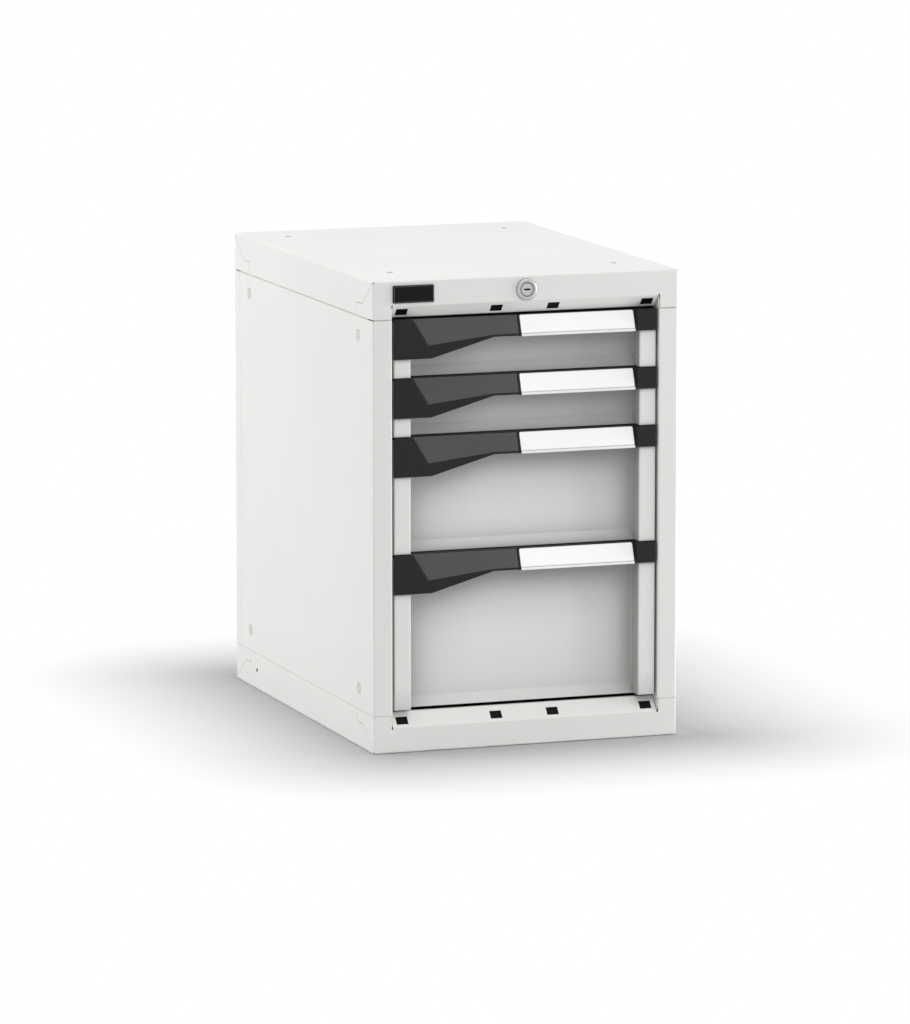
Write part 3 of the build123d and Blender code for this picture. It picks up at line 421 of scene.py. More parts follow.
@dataclass(frozen=True)
class PowderCoat(Finish):
    """Textured powder coat: fine orange peel, a slow change of tone, thin coat on the edges, dust
    with painted shade in inner corners, and painted shade in recesses if asked.
    """

    colour: Colour = (0.85, 0.842, 0.826)
    cloud_gain: float = 0.982
    roughness: float = 0.46
    gloss_spread: Span = (0.04, 0.05)
    specular: float = 0.35
    cells: float = 850.0
    depth: float = 0.025 * MM
    edge_round: float = 0.6 * MM
    edge_gain: float = 0.9
    edge_share: float = 0.10
    dust_shade_reach: float = 4.0 * MM
    dust_shade_colour: Colour = (0.46, 0.44, 0.41)
    dust_shade_share: float = 0.7
    painted_shade_reach: float = 0.0
    painted_shade_gain: float = 0.1

    def dress(self, bench: NodeBench, shader: bpy.types.Node, effects: SurfaceEffects) -> None:
        """Feed the shader from the shared grain and edge effects, from dust with painted shade in
        corners, and from painted shade in recesses if asked.

        Args:
            bench: Bench of the material.
            shader: Its shader.
            effects: The shared node groups.
        """
        place = bench.place()
        grain = bench.effect(effects.grain, {"Place": place, "Cells": self.cells})
        edges = bench.effect(effects.edges, {"Place": place, "Round": self.edge_round})
        dust_and_shade = bench.effect(effects.dust_and_shade, {"Place": place, "Reach": self.dust_shade_reach})
        tone = bench.blend(grain["Clouds"], rgba(self.colour), rgba(self.colour, self.cloud_gain))
        bare = bench.math("MULTIPLY", edges["Mask"], self.edge_share)
        tone = bench.blend(bare, tone, rgba(self.colour, self.edge_gain))
        # Dust and painted shade: seams, corners and plug edges darken towards a dusty brown.
        dust_shaded = bench.math("MULTIPLY", dust_and_shade["Mask"], self.dust_shade_share)
        tone = bench.blend(dust_shaded, tone, rgba(self.dust_shade_colour))
        # Painted shade: recessed panels darken under the handles and beside the posts.
        if self.painted_shade_reach:
            painted_shade = bench.effect(effects.painted_shade, {"Reach": self.painted_shade_reach})
            tone = bench.blend(painted_shade["Share"], tone, rgba(self.colour, self.painted_shade_gain))
        gloss = bench.ramp(grain["Clouds"], UNIT, around(self.roughness, self.gloss_spread))
        bump = bench.bump(grain["Height"], self.depth, edges["Normal"])
        bench.feed(shader, {"Base Color": tone, "Roughness": gloss, "Normal": bump})
        shader.inputs["Specular IOR Level"].default_value = self.specular


@dataclass(frozen=True)
class MouldedPlastic(Finish):
    """Moulded plastic: spark-eroded grain, mottled gloss, edges rubbed a little lighter."""

    colour: Colour = (0.0135, 0.0135, 0.014)
    cloud_gain: float = 1.12
    roughness: float = 0.5
    gloss_span: Span = (0.3, 0.7)
    gloss_spread: Span = (0.05, 0.06)
    specular: float = 0.2
    cells: float = 1700.0
    depth: float = 0.02 * MM
    edge_round: float = 0.4 * MM
    edge_gain: float = 1.8
    edge_share: float = 0.5

    def dress(self, bench: NodeBench, shader: bpy.types.Node, effects: SurfaceEffects) -> None:
        """Feed the shader from the shared grain and edge effects.

        Args:
            bench: Bench of the material.
            shader: Its shader.
            effects: The shared node groups.
        """
        place = bench.place()
        grain = bench.effect(effects.grain, {"Place": place, "Cells": self.cells})
        edges = bench.effect(effects.edges, {"Place": place, "Round": self.edge_round})
        tone = bench.blend(grain["Clouds"], rgba(self.colour), rgba(self.colour, self.cloud_gain))
        rubbed = bench.math("MULTIPLY", edges["Mask"], self.edge_share)
        tone = bench.blend(rubbed, tone, rgba(self.colour, self.edge_gain))
        gloss = bench.ramp(
            grain["Height"], self.gloss_span, around(self.roughness, self.gloss_spread)
        )
        bump = bench.bump(grain["Height"], self.depth, edges["Normal"])
        bench.feed(shader, {"Base Color": tone, "Roughness": gloss, "Normal": bump})
        shader.inputs["Specular IOR Level"].default_value = self.specular


@dataclass(frozen=True)
class PlatedSheet(Finish):
    """Zinc plated sheet: roll lines along the piece, dull clouds and bright sheared edges."""

    colour: Colour = (0.60, 0.61, 0.62)
    cloud_gain: float = 0.78
    roughness: float = 0.36
    gloss_span: Span = (0.3, 0.7)
    gloss_spread: Span = (0.08, 0.1)
    cells: float = 420.0
    stretch: Triple = (900.0, 12.0, 900.0)
    depth: float = 0.012 * MM
    edge_round: float = 0.3 * MM
    edge_gain: float = 1.2
    edge_share: float = 0.6

    def dress(self, bench: NodeBench, shader: bpy.types.Node, effects: SurfaceEffects) -> None:
        """Feed the shader from the shared line, grain and edge effects.

        Args:
            bench: Bench of the material.
            shader: Its shader.
            effects: The shared node groups.
        """
        place = bench.place()
        grain = bench.effect(effects.grain, {"Place": place, "Cells": self.cells})
        lines = bench.effect(effects.streaks, {"Place": place, "Stretch": self.stretch})["Lines"]
        edges = bench.effect(effects.edges, {"Place": place, "Round": self.edge_round})
        tone = bench.blend(grain["Clouds"], rgba(self.colour), rgba(self.colour, self.cloud_gain))
        sheared = bench.math("MULTIPLY", edges["Mask"], self.edge_share)
        tone = bench.blend(sheared, tone, rgba(self.colour, self.edge_gain))
        gloss = bench.ramp(lines, self.gloss_span, around(self.roughness, self.gloss_spread))
        bump = bench.bump(lines, self.depth, edges["Normal"])
        bench.feed(shader, {"Base Color": tone, "Roughness": gloss, "Normal": bump})
        shader.inputs["Metallic"].default_value = 1.0


@dataclass(frozen=True)
class TurnedNickel(Finish):
    """Satin nickel on turned faces: fine rings round the lock's axis."""

    colour: Colour = (0.56, 0.56, 0.553)
    cloud_gain: float = 0.86
    roughness: float = 0.5
    gloss_span: Span = (0.3, 0.7)
    gloss_spread: Span = (0.06, 0.08)
    cells: float = 700.0
    axis_height: float = 585.8 * MM
    ring_scale: float = 5200.0
    ring_detail: float = 2.0
    depth: float = 0.008 * MM
    edge_round: float = 0.3 * MM
    gap_shade_reach: float = 3.0 * MM
    gap_shade_gain: float = 1.5
    gap_shade_colour: Colour = (0.05, 0.05, 0.05)

    def dress(self, bench: NodeBench, shader: bpy.types.Node, effects: SurfaceEffects) -> None:
        """Feed the shader: rings are a line pattern of the distance from the lock's axis, and
        painted shade darkens the faces beside gaps and in the ring groove.

        Args:
            bench: Bench of the material.
            shader: Its shader.
            effects: The shared node groups.
        """
        place = bench.place()
        centred = bench.vector("SUBTRACT", place, (0.0, 0.0, self.axis_height))
        radius = bench.vector("LENGTH", bench.vector("MULTIPLY", centred, (1.0, 0.0, 1.0)))
        wave: Inputs = {"W": radius, "Scale": self.ring_scale, "Detail": self.ring_detail}
        rings = bench.node("ShaderNodeTexNoise", wave, noise_dimensions="1D").outputs["Fac"]
        grain = bench.effect(effects.grain, {"Place": place, "Cells": self.cells})
        edges = bench.effect(effects.edges, {"Place": place, "Round": self.edge_round})
        # Painted shade: occlusion darkens the faces beside gaps and in the ring groove towards near
        # black.
        gap = bench.effect(effects.painted_shade, {"Reach": self.gap_shade_reach})
        tone = bench.blend(grain["Clouds"], rgba(self.colour), rgba(self.colour, self.cloud_gain))
        painted_shade_share = bench.math("MULTIPLY", gap["Share"], self.gap_shade_gain)
        tone = bench.blend(painted_shade_share, tone, rgba(self.gap_shade_colour))
        gloss = bench.ramp(rings, self.gloss_span, around(self.roughness, self.gloss_spread))
        bump = bench.bump(rings, self.depth, edges["Normal"])
        bench.feed(shader, {"Base Color": tone, "Roughness": gloss, "Normal": bump})
        shader.inputs["Metallic"].default_value = 1.0


@dataclass(frozen=True)
class CardStock(Finish):
    """Smooth white card with a faint fibre and a painted glow: it gives off light though it is no
    lamp.
    """

    colour: Colour = (0.95, 0.95, 0.95)
    fibre_gain: float = 0.975
    fibre_span: Span = (0.35, 0.65)
    stretch: Triple = (300.0, 900.0, 900.0)
    roughness: float = 0.7
    depth: float = 0.008 * MM
    painted_glow: float = 0.6

    def dress(self, bench: NodeBench, shader: bpy.types.Node, effects: SurfaceEffects) -> None:
        """Feed the shader from the shared line effect.

        Args:
            bench: Bench of the material.
            shader: Its shader.
            effects: The shared node groups.
        """
        inputs: Inputs = {"Place": bench.place(), "Stretch": self.stretch}
        fibre = bench.effect(effects.streaks, inputs)["Lines"]
        share = bench.ramp(fibre, self.fibre_span, UNIT)
        tone = bench.blend(share, rgba(self.colour), rgba(self.colour, self.fibre_gain))
        bench.feed(shader, {"Base Color": tone, "Normal": bench.bump(fibre, self.depth)})
        shader.inputs["Roughness"].default_value = self.roughness
        # Painted glow: the card gives off white light so that it looks brighter.
        shader.inputs["Emission Color"].default_value = rgba(WHITE)
        shader.inputs["Emission Strength"].default_value = self.painted_glow


@dataclass(frozen=True)
class ClearSheet(Finish):
    """Milky label sheet: part of the light goes straight to the card, with a soft gloss and a
    painted glow.
    """

    colour: Colour = (0.93, 0.935, 0.935)
    haze: Span = (0.58, 0.66)
    gloss: Span = (0.16, 0.26)
    cells: float = 300.0
    depth: float = 0.004 * MM
    groove_shade_reach: float = 2.2 * MM
    groove_shade_gain: float = 1.8
    painted_glow: float = 0.5

    def dress(self, bench: NodeBench, shader: bpy.types.Node, effects: SurfaceEffects) -> None:
        """Feed the shader: clouds vary the haze and the gloss, painted shade darkens the groove,
        and the sheet gives off a painted glow.

        Args:
            bench: Bench of the material.
            shader: Its shader.
            effects: The shared node groups.
        """
        grain = bench.effect(effects.grain, {"Place": bench.place(), "Cells": self.cells})
        # Painted shade: occlusion darkens the groove along the sheet towards black.
        groove = bench.effect(effects.painted_shade, {"Reach": self.groove_shade_reach})
        painted_shade_share = bench.math("MULTIPLY", groove["Share"], self.groove_shade_gain)
        tone = bench.blend(painted_shade_share, rgba(self.colour), rgba(BLACK))
        haze = bench.ramp(grain["Clouds"], UNIT, self.haze)
        gloss = bench.ramp(grain["Clouds"], UNIT, self.gloss)
        # Painted glow: the sheet gives off light in its own tone.
        bench.feed(shader, {"Base Color": tone, "Emission Color": tone})
        bench.feed(shader, {"Alpha": haze, "Roughness": gloss})
        bench.feed(shader, {"Normal": bench.bump(grain["Height"], self.depth)})
        shader.inputs["Emission Strength"].default_value = self.painted_glow


class FinishBook:
    """All finishes of the cabinet, by material slot."""

    def __init__(self) -> None:
        """Build each slot's material once, and the badge rim's own one, whose lighter grey is a
        painted highlight along its bead.
        """
        effects = SurfaceEffects()
        recipes: dict[Slot, Finish] = {
            Slot.BODY_PAINT: PowderCoat("white_powder_coat"),
            # Painted shade: the drawer coat darkens in its recesses.
            Slot.DRAWER_PAINT: PowderCoat(
                "white_drawer_coat", roughness=0.44, painted_shade_reach=90.0 * MM
            ),
            Slot.TRAY_PAINT: PowderCoat("grey_tray_coat", colour=(0.70, 0.70, 0.69), roughness=0.5),
            Slot.ZINC: PlatedSheet("zinc_plated_runner"),
            Slot.PLUG_WHITE: MouldedPlastic(
                "white_hole_plug", colour=(0.64, 0.635, 0.62),
                roughness=0.55, cells=1200.0, edge_gain=0.8,
            ),
            Slot.CAP_BLACK: MouldedPlastic(
                "black_slot_cap", colour=(0.004, 0.004, 0.004),
                specular=0.1, cells=2200.0, depth=0.04 * MM,
            ),
            Slot.BADGE_BLACK: MouldedPlastic(
                "black_badge_face", colour=(0.005, 0.005, 0.005),
                roughness=0.28, specular=0.12, depth=0.006 * MM,
            ),
            Slot.LOCK_NICKEL: TurnedNickel("satin_nickel_lock"),
            Slot.LOCK_STEEL: PlatedSheet(
                "plated_lock_steel", colour=(0.52, 0.53, 0.54), stretch=(600.0, 900.0, 14.0)
            ),
            Slot.GUIDE_NYLON: MouldedPlastic(
                "black_guide_nylon", colour=(0.05, 0.05, 0.054), roughness=0.45
            ),
            Slot.ROLLER_NYLON: MouldedPlastic(
                "natural_roller_nylon", colour=(0.76, 0.75, 0.70),
                roughness=0.4, cells=900.0, edge_gain=0.9,
            ),
            Slot.HANDLE_BLACK: MouldedPlastic("black_handle_moulding"),
            Slot.GRIP_GREY: MouldedPlastic(
                "grey_grip_pad", colour=(0.072, 0.072, 0.073), roughness=0.42, specular=0.3
            ),
            Slot.LABEL_WHITE: CardStock("white_label_card"),
            Slot.LABEL_CLEAR: ClearSheet("clear_label_sheet"),
        }
        self.materials = {slot: recipe.build(effects) for slot, recipe in recipes.items()}
        # Painted highlight: the rim's lighter grey stands in for the gleam of light along its bead.
        rim = MouldedPlastic("badge_rim_painted_highlight", colour=(0.07, 0.07, 0.07), roughness=0.35)
        self.badge_rim = rim.build(effects)

    def dress_nodes(self, names: tuple[str, ...]) -> None:
        """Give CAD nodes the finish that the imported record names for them.

        Args:
            names: The nodes.
        """
        slots = {part["node"]: part["material_slot"] for part in frame["record"]["subparts"]}
        for name in names:
            material = self.materials[Slot(slots[name])]
            for holder in frame["nodes"][name].material_slots:
                holder.material = material
            LOG.info("dressed %s with %s", name, material.name)


@dataclass(frozen=True)
class Sheet:
    """A grid of points in rows and columns."""

    points: np.ndarray
    rows_meet: bool = False
    columns_meet: bool = False

    def quads(self) -> np.ndarray:
        """Faces between neighbouring rows and columns, with the ends joined where they meet.

        Returns:
            The numbers of each face's four corners.
        """
        rows, columns = self.points.shape[:2]
        number = np.arange(rows * columns).reshape(rows, columns)
        if self.rows_meet:
            number = np.vstack([number, number[:1]])
        if self.columns_meet:
            number = np.hstack([number, number[:, :1]])
        corners = [number[:-1, :-1], number[:-1, 1:], number[1:, 1:], number[1:, :-1]]
        return np.stack(corners, axis=-1).reshape(-1, 4)


def turned(
    profile: np.ndarray, centre: np.ndarray, axis: np.ndarray, side: np.ndarray, steps: int
) -> Sheet:
    """Closed surface of revolution: each profile point goes round the axis on its own circle.

    Args:
        profile: Radius and place along the axis, one row a point, the last one joined to the first.
        centre: Point on the axis where the profile's second number is zero.
        axis: Direction of the axis.
        side: Direction where the turn starts, square to the axis.
        steps: Points round the circle.

    Returns:
        The sheet, rows along the profile and columns round the axis.
    """
    angle = np.linspace(0.0, TURN, steps, endpoint=False)
    other = np.cross(axis, side)
    ring = np.cos(angle)[:, None] * side + np.sin(angle)[:, None] * other
    points = centre + profile[:, None, :1] * ring[None] + profile[:, None, 1:] * axis
    return Sheet(points, rows_meet=True, columns_meet=True)


def carried(profile: np.ndarray, path: np.ndarray, across: np.ndarray, up: np.ndarray) -> Sheet:
    """Closed profile carried round a closed path: path point plus profile along two directions.

    Args:
        profile: Numbers along across and up, one row a point.
        path: Points of the path.
        across: Direction at each path point for the profile's first number.
        up: Direction for the profile's second number.

    Returns:
        The sheet, rows along the path and columns round the profile.
    """
    sideways = profile[None, :, :1] * across[:, None, :]
    points = path[:, None, :] + sideways + profile[None, :, 1:] * up
    return Sheet(points, rows_meet=True, columns_meet=True)


@dataclass(frozen=True)
class PieceMaker:
    """Puts sheets of points into meshes that ride on a body, sharp over an angle in degrees."""

    body: str
    slot: Slot
    material: bpy.types.Material
    sharp: float
    same_point: float = 1e-7
    no_length: float = 1e-8

    def make(self, name: str, sheets: list[Sheet]) -> bpy.types.Object:
        """Make one piece, its sheets welded where they meet and its faces turned outward.

        Args:
            name: Name of the piece.
            sheets: Its surfaces.

        Returns:
            The new object.
        """
        counts = np.cumsum([0] + [len(sheet.points.reshape(-1, 3)) for sheet in sheets])
        points = np.concatenate([sheet.points.reshape(-1, 3) for sheet in sheets])
        quads = np.concatenate([sheet.quads() + start for sheet, start in zip(sheets, counts)])
        mesh = bpy.data.meshes.new(name)
        mesh.from_pydata(points.tolist(), [], quads.tolist())
        joined = bmesh.new()
        joined.from_mesh(mesh)
        bmesh.ops.remove_doubles(joined, verts=joined.verts, dist=self.same_point)
        bmesh.ops.dissolve_degenerate(joined, edges=joined.edges, dist=self.no_length)
        bmesh.ops.recalc_face_normals(joined, faces=joined.faces)
        joined.to_mesh(mesh)
        joined.free()
        mesh.shade_smooth()
        mesh.set_sharp_from_angle(angle=math.radians(self.sharp))
        mesh.materials.append(self.material)
        piece = bpy.data.objects.new(name, mesh)
        bpy.context.scene.collection.objects.link(piece)
        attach(piece, self.body)
        LOG.info("made %s, %d faces, on %s", name, len(mesh.polygons), self.body)
        return piece


@dataclass
class Housing:
    """Cover, base, panels, uprights and plugs, with the badge plate's rim."""

    book: FinishBook
    rim_inset: float = 1.3 * MM
    rim_corner: float = 1.2 * MM
    rim_half: float = 0.5 * MM
    rim_rise: float = 0.3 * MM
    path_steps: int = 48
    bead_steps: int = 12
    sharp: float = 60.0
    nodes: tuple[str, ...] = (
        "top_cover",
        "base_tray",
        "left_side_panel",
        "right_side_panel",
        "rear_panel",
        "side_plugs",
        "slot_caps",
        "badge_plate",
        "left_uprights",
        "right_uprights",
        "slider_guides",
        "lock_bar_guides",
    )

    def build(self) -> None:
        """Dress the CAD nodes and add the rim of the badge."""
        self.book.dress_nodes(self.nodes)
        self.badge_rim()

    def badge_rim(self) -> bpy.types.Object:
        """Bead near the badge's edge: a small ellipse carried round a rounded rectangle.

        The rectangle's path is a circle of the corner's radius, cut in four and moved out to the
        corners.

        Returns:
            The rim.
        """
        low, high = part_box("badge_plate")
        middle = (low + high) / 2
        half = np.array([high.x - low.x, high.z - low.z]) / 2 - self.rim_inset - self.rim_corner
        angle = np.linspace(0.0, TURN, self.path_steps, endpoint=False)
        outward = np.stack([np.cos(angle), np.sin(angle)], axis=1)
        corner = np.where(outward >= -TINY, 1.0, -1.0) * half
        flat = corner + self.rim_corner * outward
        level = np.zeros(self.path_steps)
        path = np.stack([middle.x + flat[:, 0], low.y + level, middle.z + flat[:, 1]], axis=1)
        across = np.stack([outward[:, 0], level, outward[:, 1]], axis=1)
        turn = np.linspace(0.0, TURN, self.bead_steps, endpoint=False)
        profile = np.stack([self.rim_half * np.cos(turn), self.rim_rise * np.sin(turn)], axis=1)
        sheet = carried(profile, path, across, np.array([0.0, -1.0, 0.0]))
        maker = PieceMaker("housing", Slot.BADGE_BLACK, self.book.badge_rim, self.sharp)
        return maker.make("badge_rim", [sheet])


@dataclass
class LockSet:
    """Cylinder lock in the cover's front, with the parts that carry its turn to the lock bar."""

    book: FinishBook
    bore: float = 8.1 * MM
    bore_ease: float = 0.25 * MM
    barrel: float = 9.5 * MM
    collar: float = 13.8 * MM
    collar_band: float = 0.9 * MM
    crest: float = 11.0 * MM
    crest_steps: int = 10
    groove: float = 9.0 * MM
    groove_half: float = 0.45 * MM
    groove_deep: float = 0.5 * MM
    groove_steps: int = 9
    steps: int = 96
    sharp: float = 30.0
    nodes: tuple[str, ...] = (
        "lock_body",
        "lock_nut",
        "lock_plug",
        "lock_cam",
        "lock_slider",
        "lock_bar",
        "lock_bar_teeth",
    )

    def build(self) -> None:
        """Dress the CAD nodes and stand the turned collar in for the plain lock body."""
        self.book.dress_nodes(self.nodes)
        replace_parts(self.turned_body(), "lock_body")

    def turned_body(self) -> bpy.types.Object:
        """Lock body turned about its axis: bore, barrel and a collar.

        The collar's shoulder is a quarter ellipse from its band to its crest, and the ring groove
        in its face is half an ellipse.

        Returns:
            The lock body.
        """
        low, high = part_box("lock_body")
        middle = (low + high) / 2
        front, back = low.y, high.y
        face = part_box("left_side_panel")[0].y
        band = face - self.collar_band
        sweep = np.linspace(0.0, math.pi / 2, self.crest_steps)
        shoulder_radius = self.crest + (self.collar - self.crest) * np.cos(sweep)
        shoulder = np.stack([shoulder_radius, band + (front - band) * np.sin(sweep)], axis=1)
        dip = np.linspace(math.pi, 0.0, self.groove_steps)
        ring_radius = self.groove - self.groove_half * np.cos(dip)
        ring = np.stack([ring_radius, front + self.groove_deep * np.sin(dip)], axis=1)
        profile = np.concatenate(
            [
                [[self.bore, back], [self.barrel, back], [self.barrel, face], [self.collar, face]],
                shoulder,
                ring,
                [[self.bore + self.bore_ease, front], [self.bore, front + self.bore_ease]],
            ]
        )
        centre = np.array([middle.x, 0.0, middle.z])
        axis, side = np.array([0.0, 1.0, 0.0]), np.array([1.0, 0.0, 0.0])
        nickel = self.book.materials[Slot.LOCK_NICKEL]
        maker = PieceMaker("housing", Slot.LOCK_NICKEL, nickel, self.sharp)
        return maker.make("lock_collar", [turned(profile, centre, axis, side, self.steps)])


@dataclass(frozen=True)
class PadShape:
    """Sizes of a grip pad on the handle's sloped face."""

    edge: float = 0.6 * MM
    thick: float = 1.2 * MM
    rolled: float = 2.2 * MM
    drop: float = 0.6 * MM
    slant: float = 18.8 * MM
    level: float = 32.4 * MM
    slope_run: float = 9.3 * MM
    tall_ridge: float = 35.1 * MM
    level_ridge: float = 24.3 * MM
    margin: tuple[float, ...] = (0.0, 0.06, 0.2, 0.4, 0.65, 1.0)
    columns: int = 42
    rows: int = 8

    def sheet(self, low: Vector, high: Vector) -> Sheet:
        """Pad with a rolled margin, its front and back joined round the edge.

        The face leans back by the slope's run over the ridge's depth, which falls from the tall
        block to the level part. Near the edge it sinks along a quarter round of the distance to the
        edge.

        Args:
            low: Lowest corner of the pad's box.
            high: Highest corner of the pad's box.

        Returns:
            The pad's closed surface, rows down the face and columns along it.
        """
        margin = self.rolled * np.array(self.margin)
        width = high.x - low.x
        inside = np.linspace(0.0, width, self.columns)[1:-1]
        along = np.concatenate([[0.0], margin, inside, width - margin[::-1], [width]]) / width
        foot = low.x + self.slant
        foot_x = foot + along * (high.x - foot)
        top_x = low.x + along * width
        knots = [foot, high.x - self.level, high.x]
        shallow = self.level_ridge - self.edge
        deep = np.interp(foot_x, knots, [self.tall_ridge - 2 * self.edge, shallow, shallow])
        clear = deep - self.edge
        step = np.linspace(0.0, 1.0, self.rows)[1:-1, None]
        inner = self.rolled + step * (clear - 2 * self.rolled)
        fall = np.concatenate([margin[:, None] + 0 * clear, inner, clear - margin[::-1, None]])
        x = top_x + (foot_x - top_x) * fall / clear
        z = high.z - fall
        ridge = np.interp(x, knots, [self.tall_ridge, self.level_ridge, self.level_ridge])
        front = low.y - self.slope_run * self.edge / self.level_ridge
        face = front + self.slope_run * (1.0 - (self.edge + fall) / ridge)
        back = face + self.thick
        to_ends = width * np.minimum(along, 1.0 - along)
        gap = np.minimum(np.minimum(fall, clear - fall), to_ends)
        short = 1.0 - np.clip(gap / self.rolled, 0.0, 1.0)
        sunk = face + self.drop * (1.0 - np.sqrt(1.0 - short**2))
        sunk[:, [0, -1]] = back[:, [0, -1]]
        grids = [np.stack([x, sunk, z], axis=-1), np.stack([x, back, z], axis=-1)[::-1]]
        return Sheet(np.concatenate(grids), rows_meet=True)


@dataclass(frozen=True)
class RollerShape:
    """Sizes of a crowned roller with pockets in its faces."""

    wide: float = 9.0 * MM
    bore: float = 3.3 * MM
    hub: float = 5.2 * MM
    tread_thick: float = 1.9 * MM
    ease: float = 0.8 * MM
    crown: float = 0.12 * MM
    crown_steps: int = 7
    pockets: int = 6
    pocket_wall: float = 0.25 * MM
    pocket_deep: float = 1.6 * MM
    pocket_gain: float = 1.6
    pocket_land: float = 0.25
    web_steps: int = 6
    steps: int = 72

    def sheet(self, side: Across, low: Vector, high: Vector) -> Sheet:
        """One roller of a pair, turned about its axle.

        The tread's radius falls with the square of the place across it. Between hub and tread the
        face sinks by a squared sine of the angle, so that the pockets show the turn.

        Args:
            side: Side of the cabinet.
            low: Lowest corner of the pair's box.
            high: Highest corner of the pair's box.

        Returns:
            The roller's closed surface, rows along its profile and columns round its axle.
        """
        middle = (low + high) / 2
        radius = (high.z - low.z) / 2
        half = self.wide / 2
        rim = radius - self.tread_thick
        web_in, web_out = self.hub + self.pocket_wall, rim - self.pocket_wall
        web = np.linspace(web_in, web_out, self.web_steps)
        spokes = np.concatenate([[self.bore, self.hub], web, [rim, radius - self.ease]])
        inner = np.stack([spokes, np.full(len(spokes), half)], axis=1)
        crown = np.linspace(-1.0, 1.0, self.crown_steps)
        tread = np.stack([radius - self.crown * crown**2, -crown * (half - self.ease)], axis=1)
        profile = np.concatenate([inner, tread, inner[::-1] * np.array([1.0, -1.0])])
        start = (high.x if side is Across.RIGHT else low.x) - side.value * half
        centre = np.array([start, middle.y, middle.z])
        axis, first = np.array([1.0, 0.0, 0.0]), np.array([0.0, 1.0, 0.0])
        points = turned(profile, centre, axis, first, self.steps).points
        angle = np.linspace(0.0, TURN, self.steps, endpoint=False)
        swell = self.pocket_gain * np.sin(self.pockets / 2 * angle) ** 2
        lobes = np.clip(swell - self.pocket_land, 0.0, 1.0)
        spare = self.pocket_wall / 2
        in_web = (profile[:, 0] > web_in - spare) & (profile[:, 0] < web_out + spare)
        sink = -self.pocket_deep * np.sign(profile[:, 1]) * in_web
        points[:, :, 0] += sink[:, None] * lobes[None, :]
        return Sheet(points, rows_meet=True, columns_meet=True)


@dataclass
class DrawerUnit:
    """One drawer: tray, front, handle with its grip pad and label, and its runners."""

    number: int
    book: FinishBook
    pad: PadShape = PadShape()
    roller: RollerShape = RollerShape()
    sharp: float = 40.0
    drawer_parts: tuple[str, ...] = (
        "tray",
        "front",
        "handle",
        "grip_pad",
        "label_card",
        "label_cover",
        "rails",
        "rollers",
    )
    cabinet_parts: tuple[str, ...] = ("rails", "rollers")

    def build(self) -> None:
        """Dress the CAD nodes and stand the moulded pad and rollers in for the plain ones."""
        n = self.number
        moving = tuple(f"drawer_{n}_{part}" for part in self.drawer_parts)
        fixed = tuple(f"cabinet_{n}_{part}" for part in self.cabinet_parts)
        self.book.dress_nodes(moving + fixed)
        self.moulded_rollers(f"cabinet_{n}_rollers", f"front_rollers_{n}")
        self.moulded_rollers(f"drawer_{n}_rollers", f"rear_rollers_{n}")
        self.moulded_pad(f"drawer_{n}_grip_pad", f"drawer_{n}")

    def moulded_pad(self, node: str, body: str) -> None:
        """Stand a pad with a rolled margin in for the plain one.

        Args:
            node: CAD node that the pad stands for.
            body: Body that carries it.
        """
        grey = self.book.materials[Slot.GRIP_GREY]
        maker = PieceMaker(body, Slot.GRIP_GREY, grey, self.sharp)
        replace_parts(maker.make(f"{node}_moulded", [self.pad.sheet(*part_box(node))]), node)

    def moulded_rollers(self, node: str, body: str) -> None:
        """Stand a pair of crowned rollers in for the plain ones.

        Args:
            node: CAD node that the rollers stand for.
            body: Body that carries them.
        """
        low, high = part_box(node)
        sheets = [self.roller.sheet(side, low, high) for side in Across]
        nylon = self.book.materials[Slot.ROLLER_NYLON]
        maker = PieceMaker(body, Slot.ROLLER_NYLON, nylon, self.sharp)
        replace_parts(maker.make(f"{node}_moulded", sheets), node)


@dataclass
class PhotoCamera:
    """Camera at the photograph's viewing angle."""

    place: Triple = (-2.9002, -8.2220, 1.6397)
    tilt: float = 80.994
    turn: float = -19.461
    lens: float = 236.67
    sensor: float = 36.0
    far: float = 60.0

    def build(self) -> bpy.types.Object:
        """Make the camera and hand it to the scene.

        Returns:
            The camera.
        """
        data = bpy.data.cameras.new("photo_camera")
        data.lens = self.lens
        data.sensor_width = self.sensor
        data.clip_end = self.far
        camera = bpy.data.objects.new("photo_camera", data)
        camera.location = self.place
        camera.rotation_euler = (math.radians(self.tilt), 0.0, math.radians(self.turn))
        bpy.context.scene.collection.objects.link(camera)
        bpy.context.scene.camera = camera
        return camera


@dataclass(frozen=True)
class Softbox:
    """One square area lamp, aimed at the cabinet."""

    name: str
    place: Triple
    size: float
    power: float
    aim: Triple = (0.0, 0.0, 0.3)

    def build(self) -> bpy.types.Object:
        """Make the lamp and turn it to its aim.

        Returns:
            The lamp.
        """
        data = bpy.data.lights.new(self.name, "AREA")
        data.shape = "SQUARE"
        data.size = self.size
        data.energy = self.power
        lamp = bpy.data.objects.new(self.name, data)
        lamp.location = self.place
        way = Vector(self.aim) - Vector(self.place)
        lamp.rotation_euler = way.to_track_quat("-Z", "Y").to_euler()
        bpy.context.scene.collection.objects.link(lamp)
        return lamp


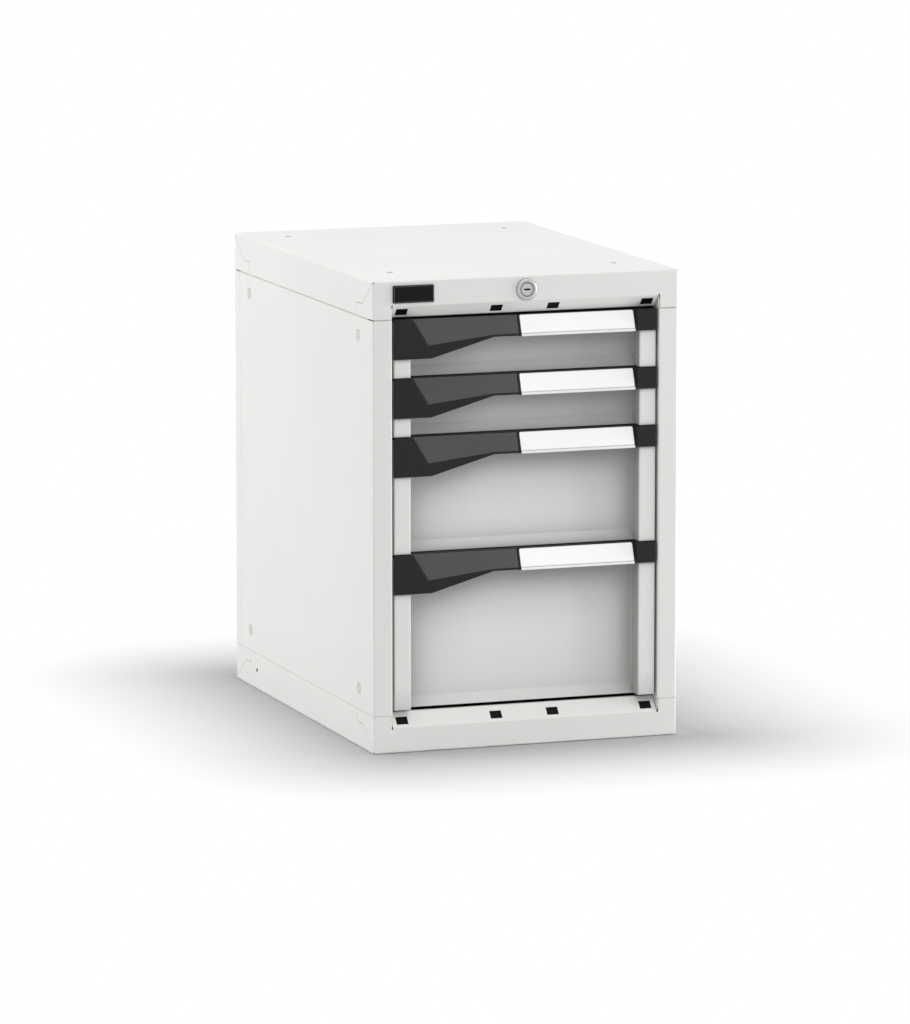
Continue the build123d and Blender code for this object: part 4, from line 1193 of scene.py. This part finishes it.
@dataclass
class StudioSet:
    """Pale floor, soft lamps, and a world that shows white."""

    floor_half: float = 14.0
    floor_drop: float = 0.3 * MM
    floor_tone: float = 0.7
    shade_tone: float = 0.45
    shade_shift: Triple = (0.03, 0.0, 0.0)
    shade_reach: Span = (0.0, 0.32)
    shade_tall: float = 1.0
    sky: float = 0.645
    lamps: tuple[Softbox, ...] = (
        Softbox("softbox_over", (0.0, 0.2, 2.8), 2.0, 9.5),
        Softbox("softbox_over_front", (0.0, -1.6, 2.6), 1.6, 11.0),
        Softbox("softbox_left_back", (-2.6, 1.1, 1.2), 1.6, 27.0),
        Softbox("softbox_right", (2.6, -0.6, 0.5), 1.0, 53.5),
    )

    def build(self) -> None:
        """Make the floor, the lamps and the world."""
        self.floor()
        self.world()
        for lamp in self.lamps:
            lamp.build()
        bpy.context.scene.view_settings.view_transform = "Standard"

    def floor(self) -> bpy.types.Object:
        """Flat floor just under the base: a two by two grid of corner points.

        Returns:
            The floor.
        """
        reach = np.array([-self.floor_half, self.floor_half])
        across, along = np.meshgrid(reach, reach, indexing="xy")
        points = np.stack([across, along, np.full((2, 2), -self.floor_drop)], axis=-1)
        mesh = bpy.data.meshes.new("studio_floor")
        mesh.from_pydata(points.reshape(-1, 3).tolist(), [], Sheet(points).quads().tolist())
        floor = bpy.data.objects.new("studio_floor", mesh)
        bpy.context.scene.collection.objects.link(floor)
        mesh.materials.append(self.floor_paper())
        return floor

    def floor_paper(self) -> bpy.types.Material:
        """Paper that keeps the shadow round the base and fades to white where it is looked at.

        The share of white grows, and the painted shadow in the paper's colour fades, with the
        distance from the base's footprint: the length of what is left of the place after the
        footprint's half size is taken off, never less than nothing. The footprint is moved a little
        to the shaded side.

        Returns:
            The floor's material.
        """
        material, bench = empty_material("studio_paper")
        low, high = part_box("base_tray")
        half = ((high.x - low.x) / 2, (high.y - low.y) / 2, self.shade_tall)
        moved = bench.vector("SUBTRACT", bench.place(), self.shade_shift)
        past = bench.vector("SUBTRACT", bench.vector("ABSOLUTE", moved), half)
        away = bench.vector("LENGTH", bench.vector("MAXIMUM", past))
        seen = self.shown(bench)
        share = bench.math("MULTIPLY", bench.ramp(away, self.shade_reach, (0.0, 1.0)), seen)
        # Painted shadow: for camera rays the paper's colour darkens towards the base's footprint.
        near = bench.math("MULTIPLY", bench.ramp(away, self.shade_reach, (1.0, 0.0)), seen)
        tone = bench.blend(near, rgba(WHITE, self.floor_tone), rgba(WHITE, self.shade_tone))
        paper = bench.node("ShaderNodeBsdfDiffuse", {"Color": tone}).outputs["BSDF"]
        glow: Inputs = {"Color": rgba(WHITE), "Strength": 1.0}
        white = bench.node("ShaderNodeEmission", glow).outputs["Emission"]
        both = bench.node("ShaderNodeMixShader", {0: share, 1: paper, 2: white})
        bench.node("ShaderNodeOutputMaterial", {"Surface": both.outputs["Shader"]})
        return material

    @staticmethod
    def shown(bench: NodeBench) -> bpy.types.NodeSocket:
        """Share that is 1 for what the camera sees straight, in gloss or through clear sheet.

        Args:
            bench: Bench of the material or the world.

        Returns:
            The share's socket.
        """
        path = bench.node("ShaderNodeLightPath").outputs
        near = bench.math("MAXIMUM", path["Is Camera Ray"], path["Is Glossy Ray"])
        return bench.math("MAXIMUM", near, path["Is Transmission Ray"])

    def world(self) -> bpy.types.World:
        """World that is plain white where it is looked at, and softer as light.

        Returns:
            The world.
        """
        world = bpy.data.worlds.new("studio_world")
        world.use_nodes = True
        world.node_tree.nodes.clear()
        bench = NodeBench(world.node_tree)
        light, white = (
            bench.node("ShaderNodeBackground", {"Color": rgba(WHITE), "Strength": strength})
            for strength in (self.sky, 1.0)
        )
        both = bench.node(
            "ShaderNodeMixShader",
            {0: self.shown(bench), 1: light.outputs["Background"], 2: white.outputs["Background"]},
        )
        bench.node("ShaderNodeOutputWorld", {"Surface": both.outputs["Shader"]})
        bpy.context.scene.world = world
        return world


def main() -> None:
    """Build the camera, the studio and the cabinet's sub-assemblies in order."""
    logging.basicConfig(level=logging.INFO, format="%(name)s: %(message)s")
    PhotoCamera().build()
    StudioSet().build()
    book = FinishBook()
    Housing(book).build()
    LockSet(book).build()
    for number in range(1, DRAWERS + 1):
        DrawerUnit(number, book).build()


if __name__ == "__main__":
    main()
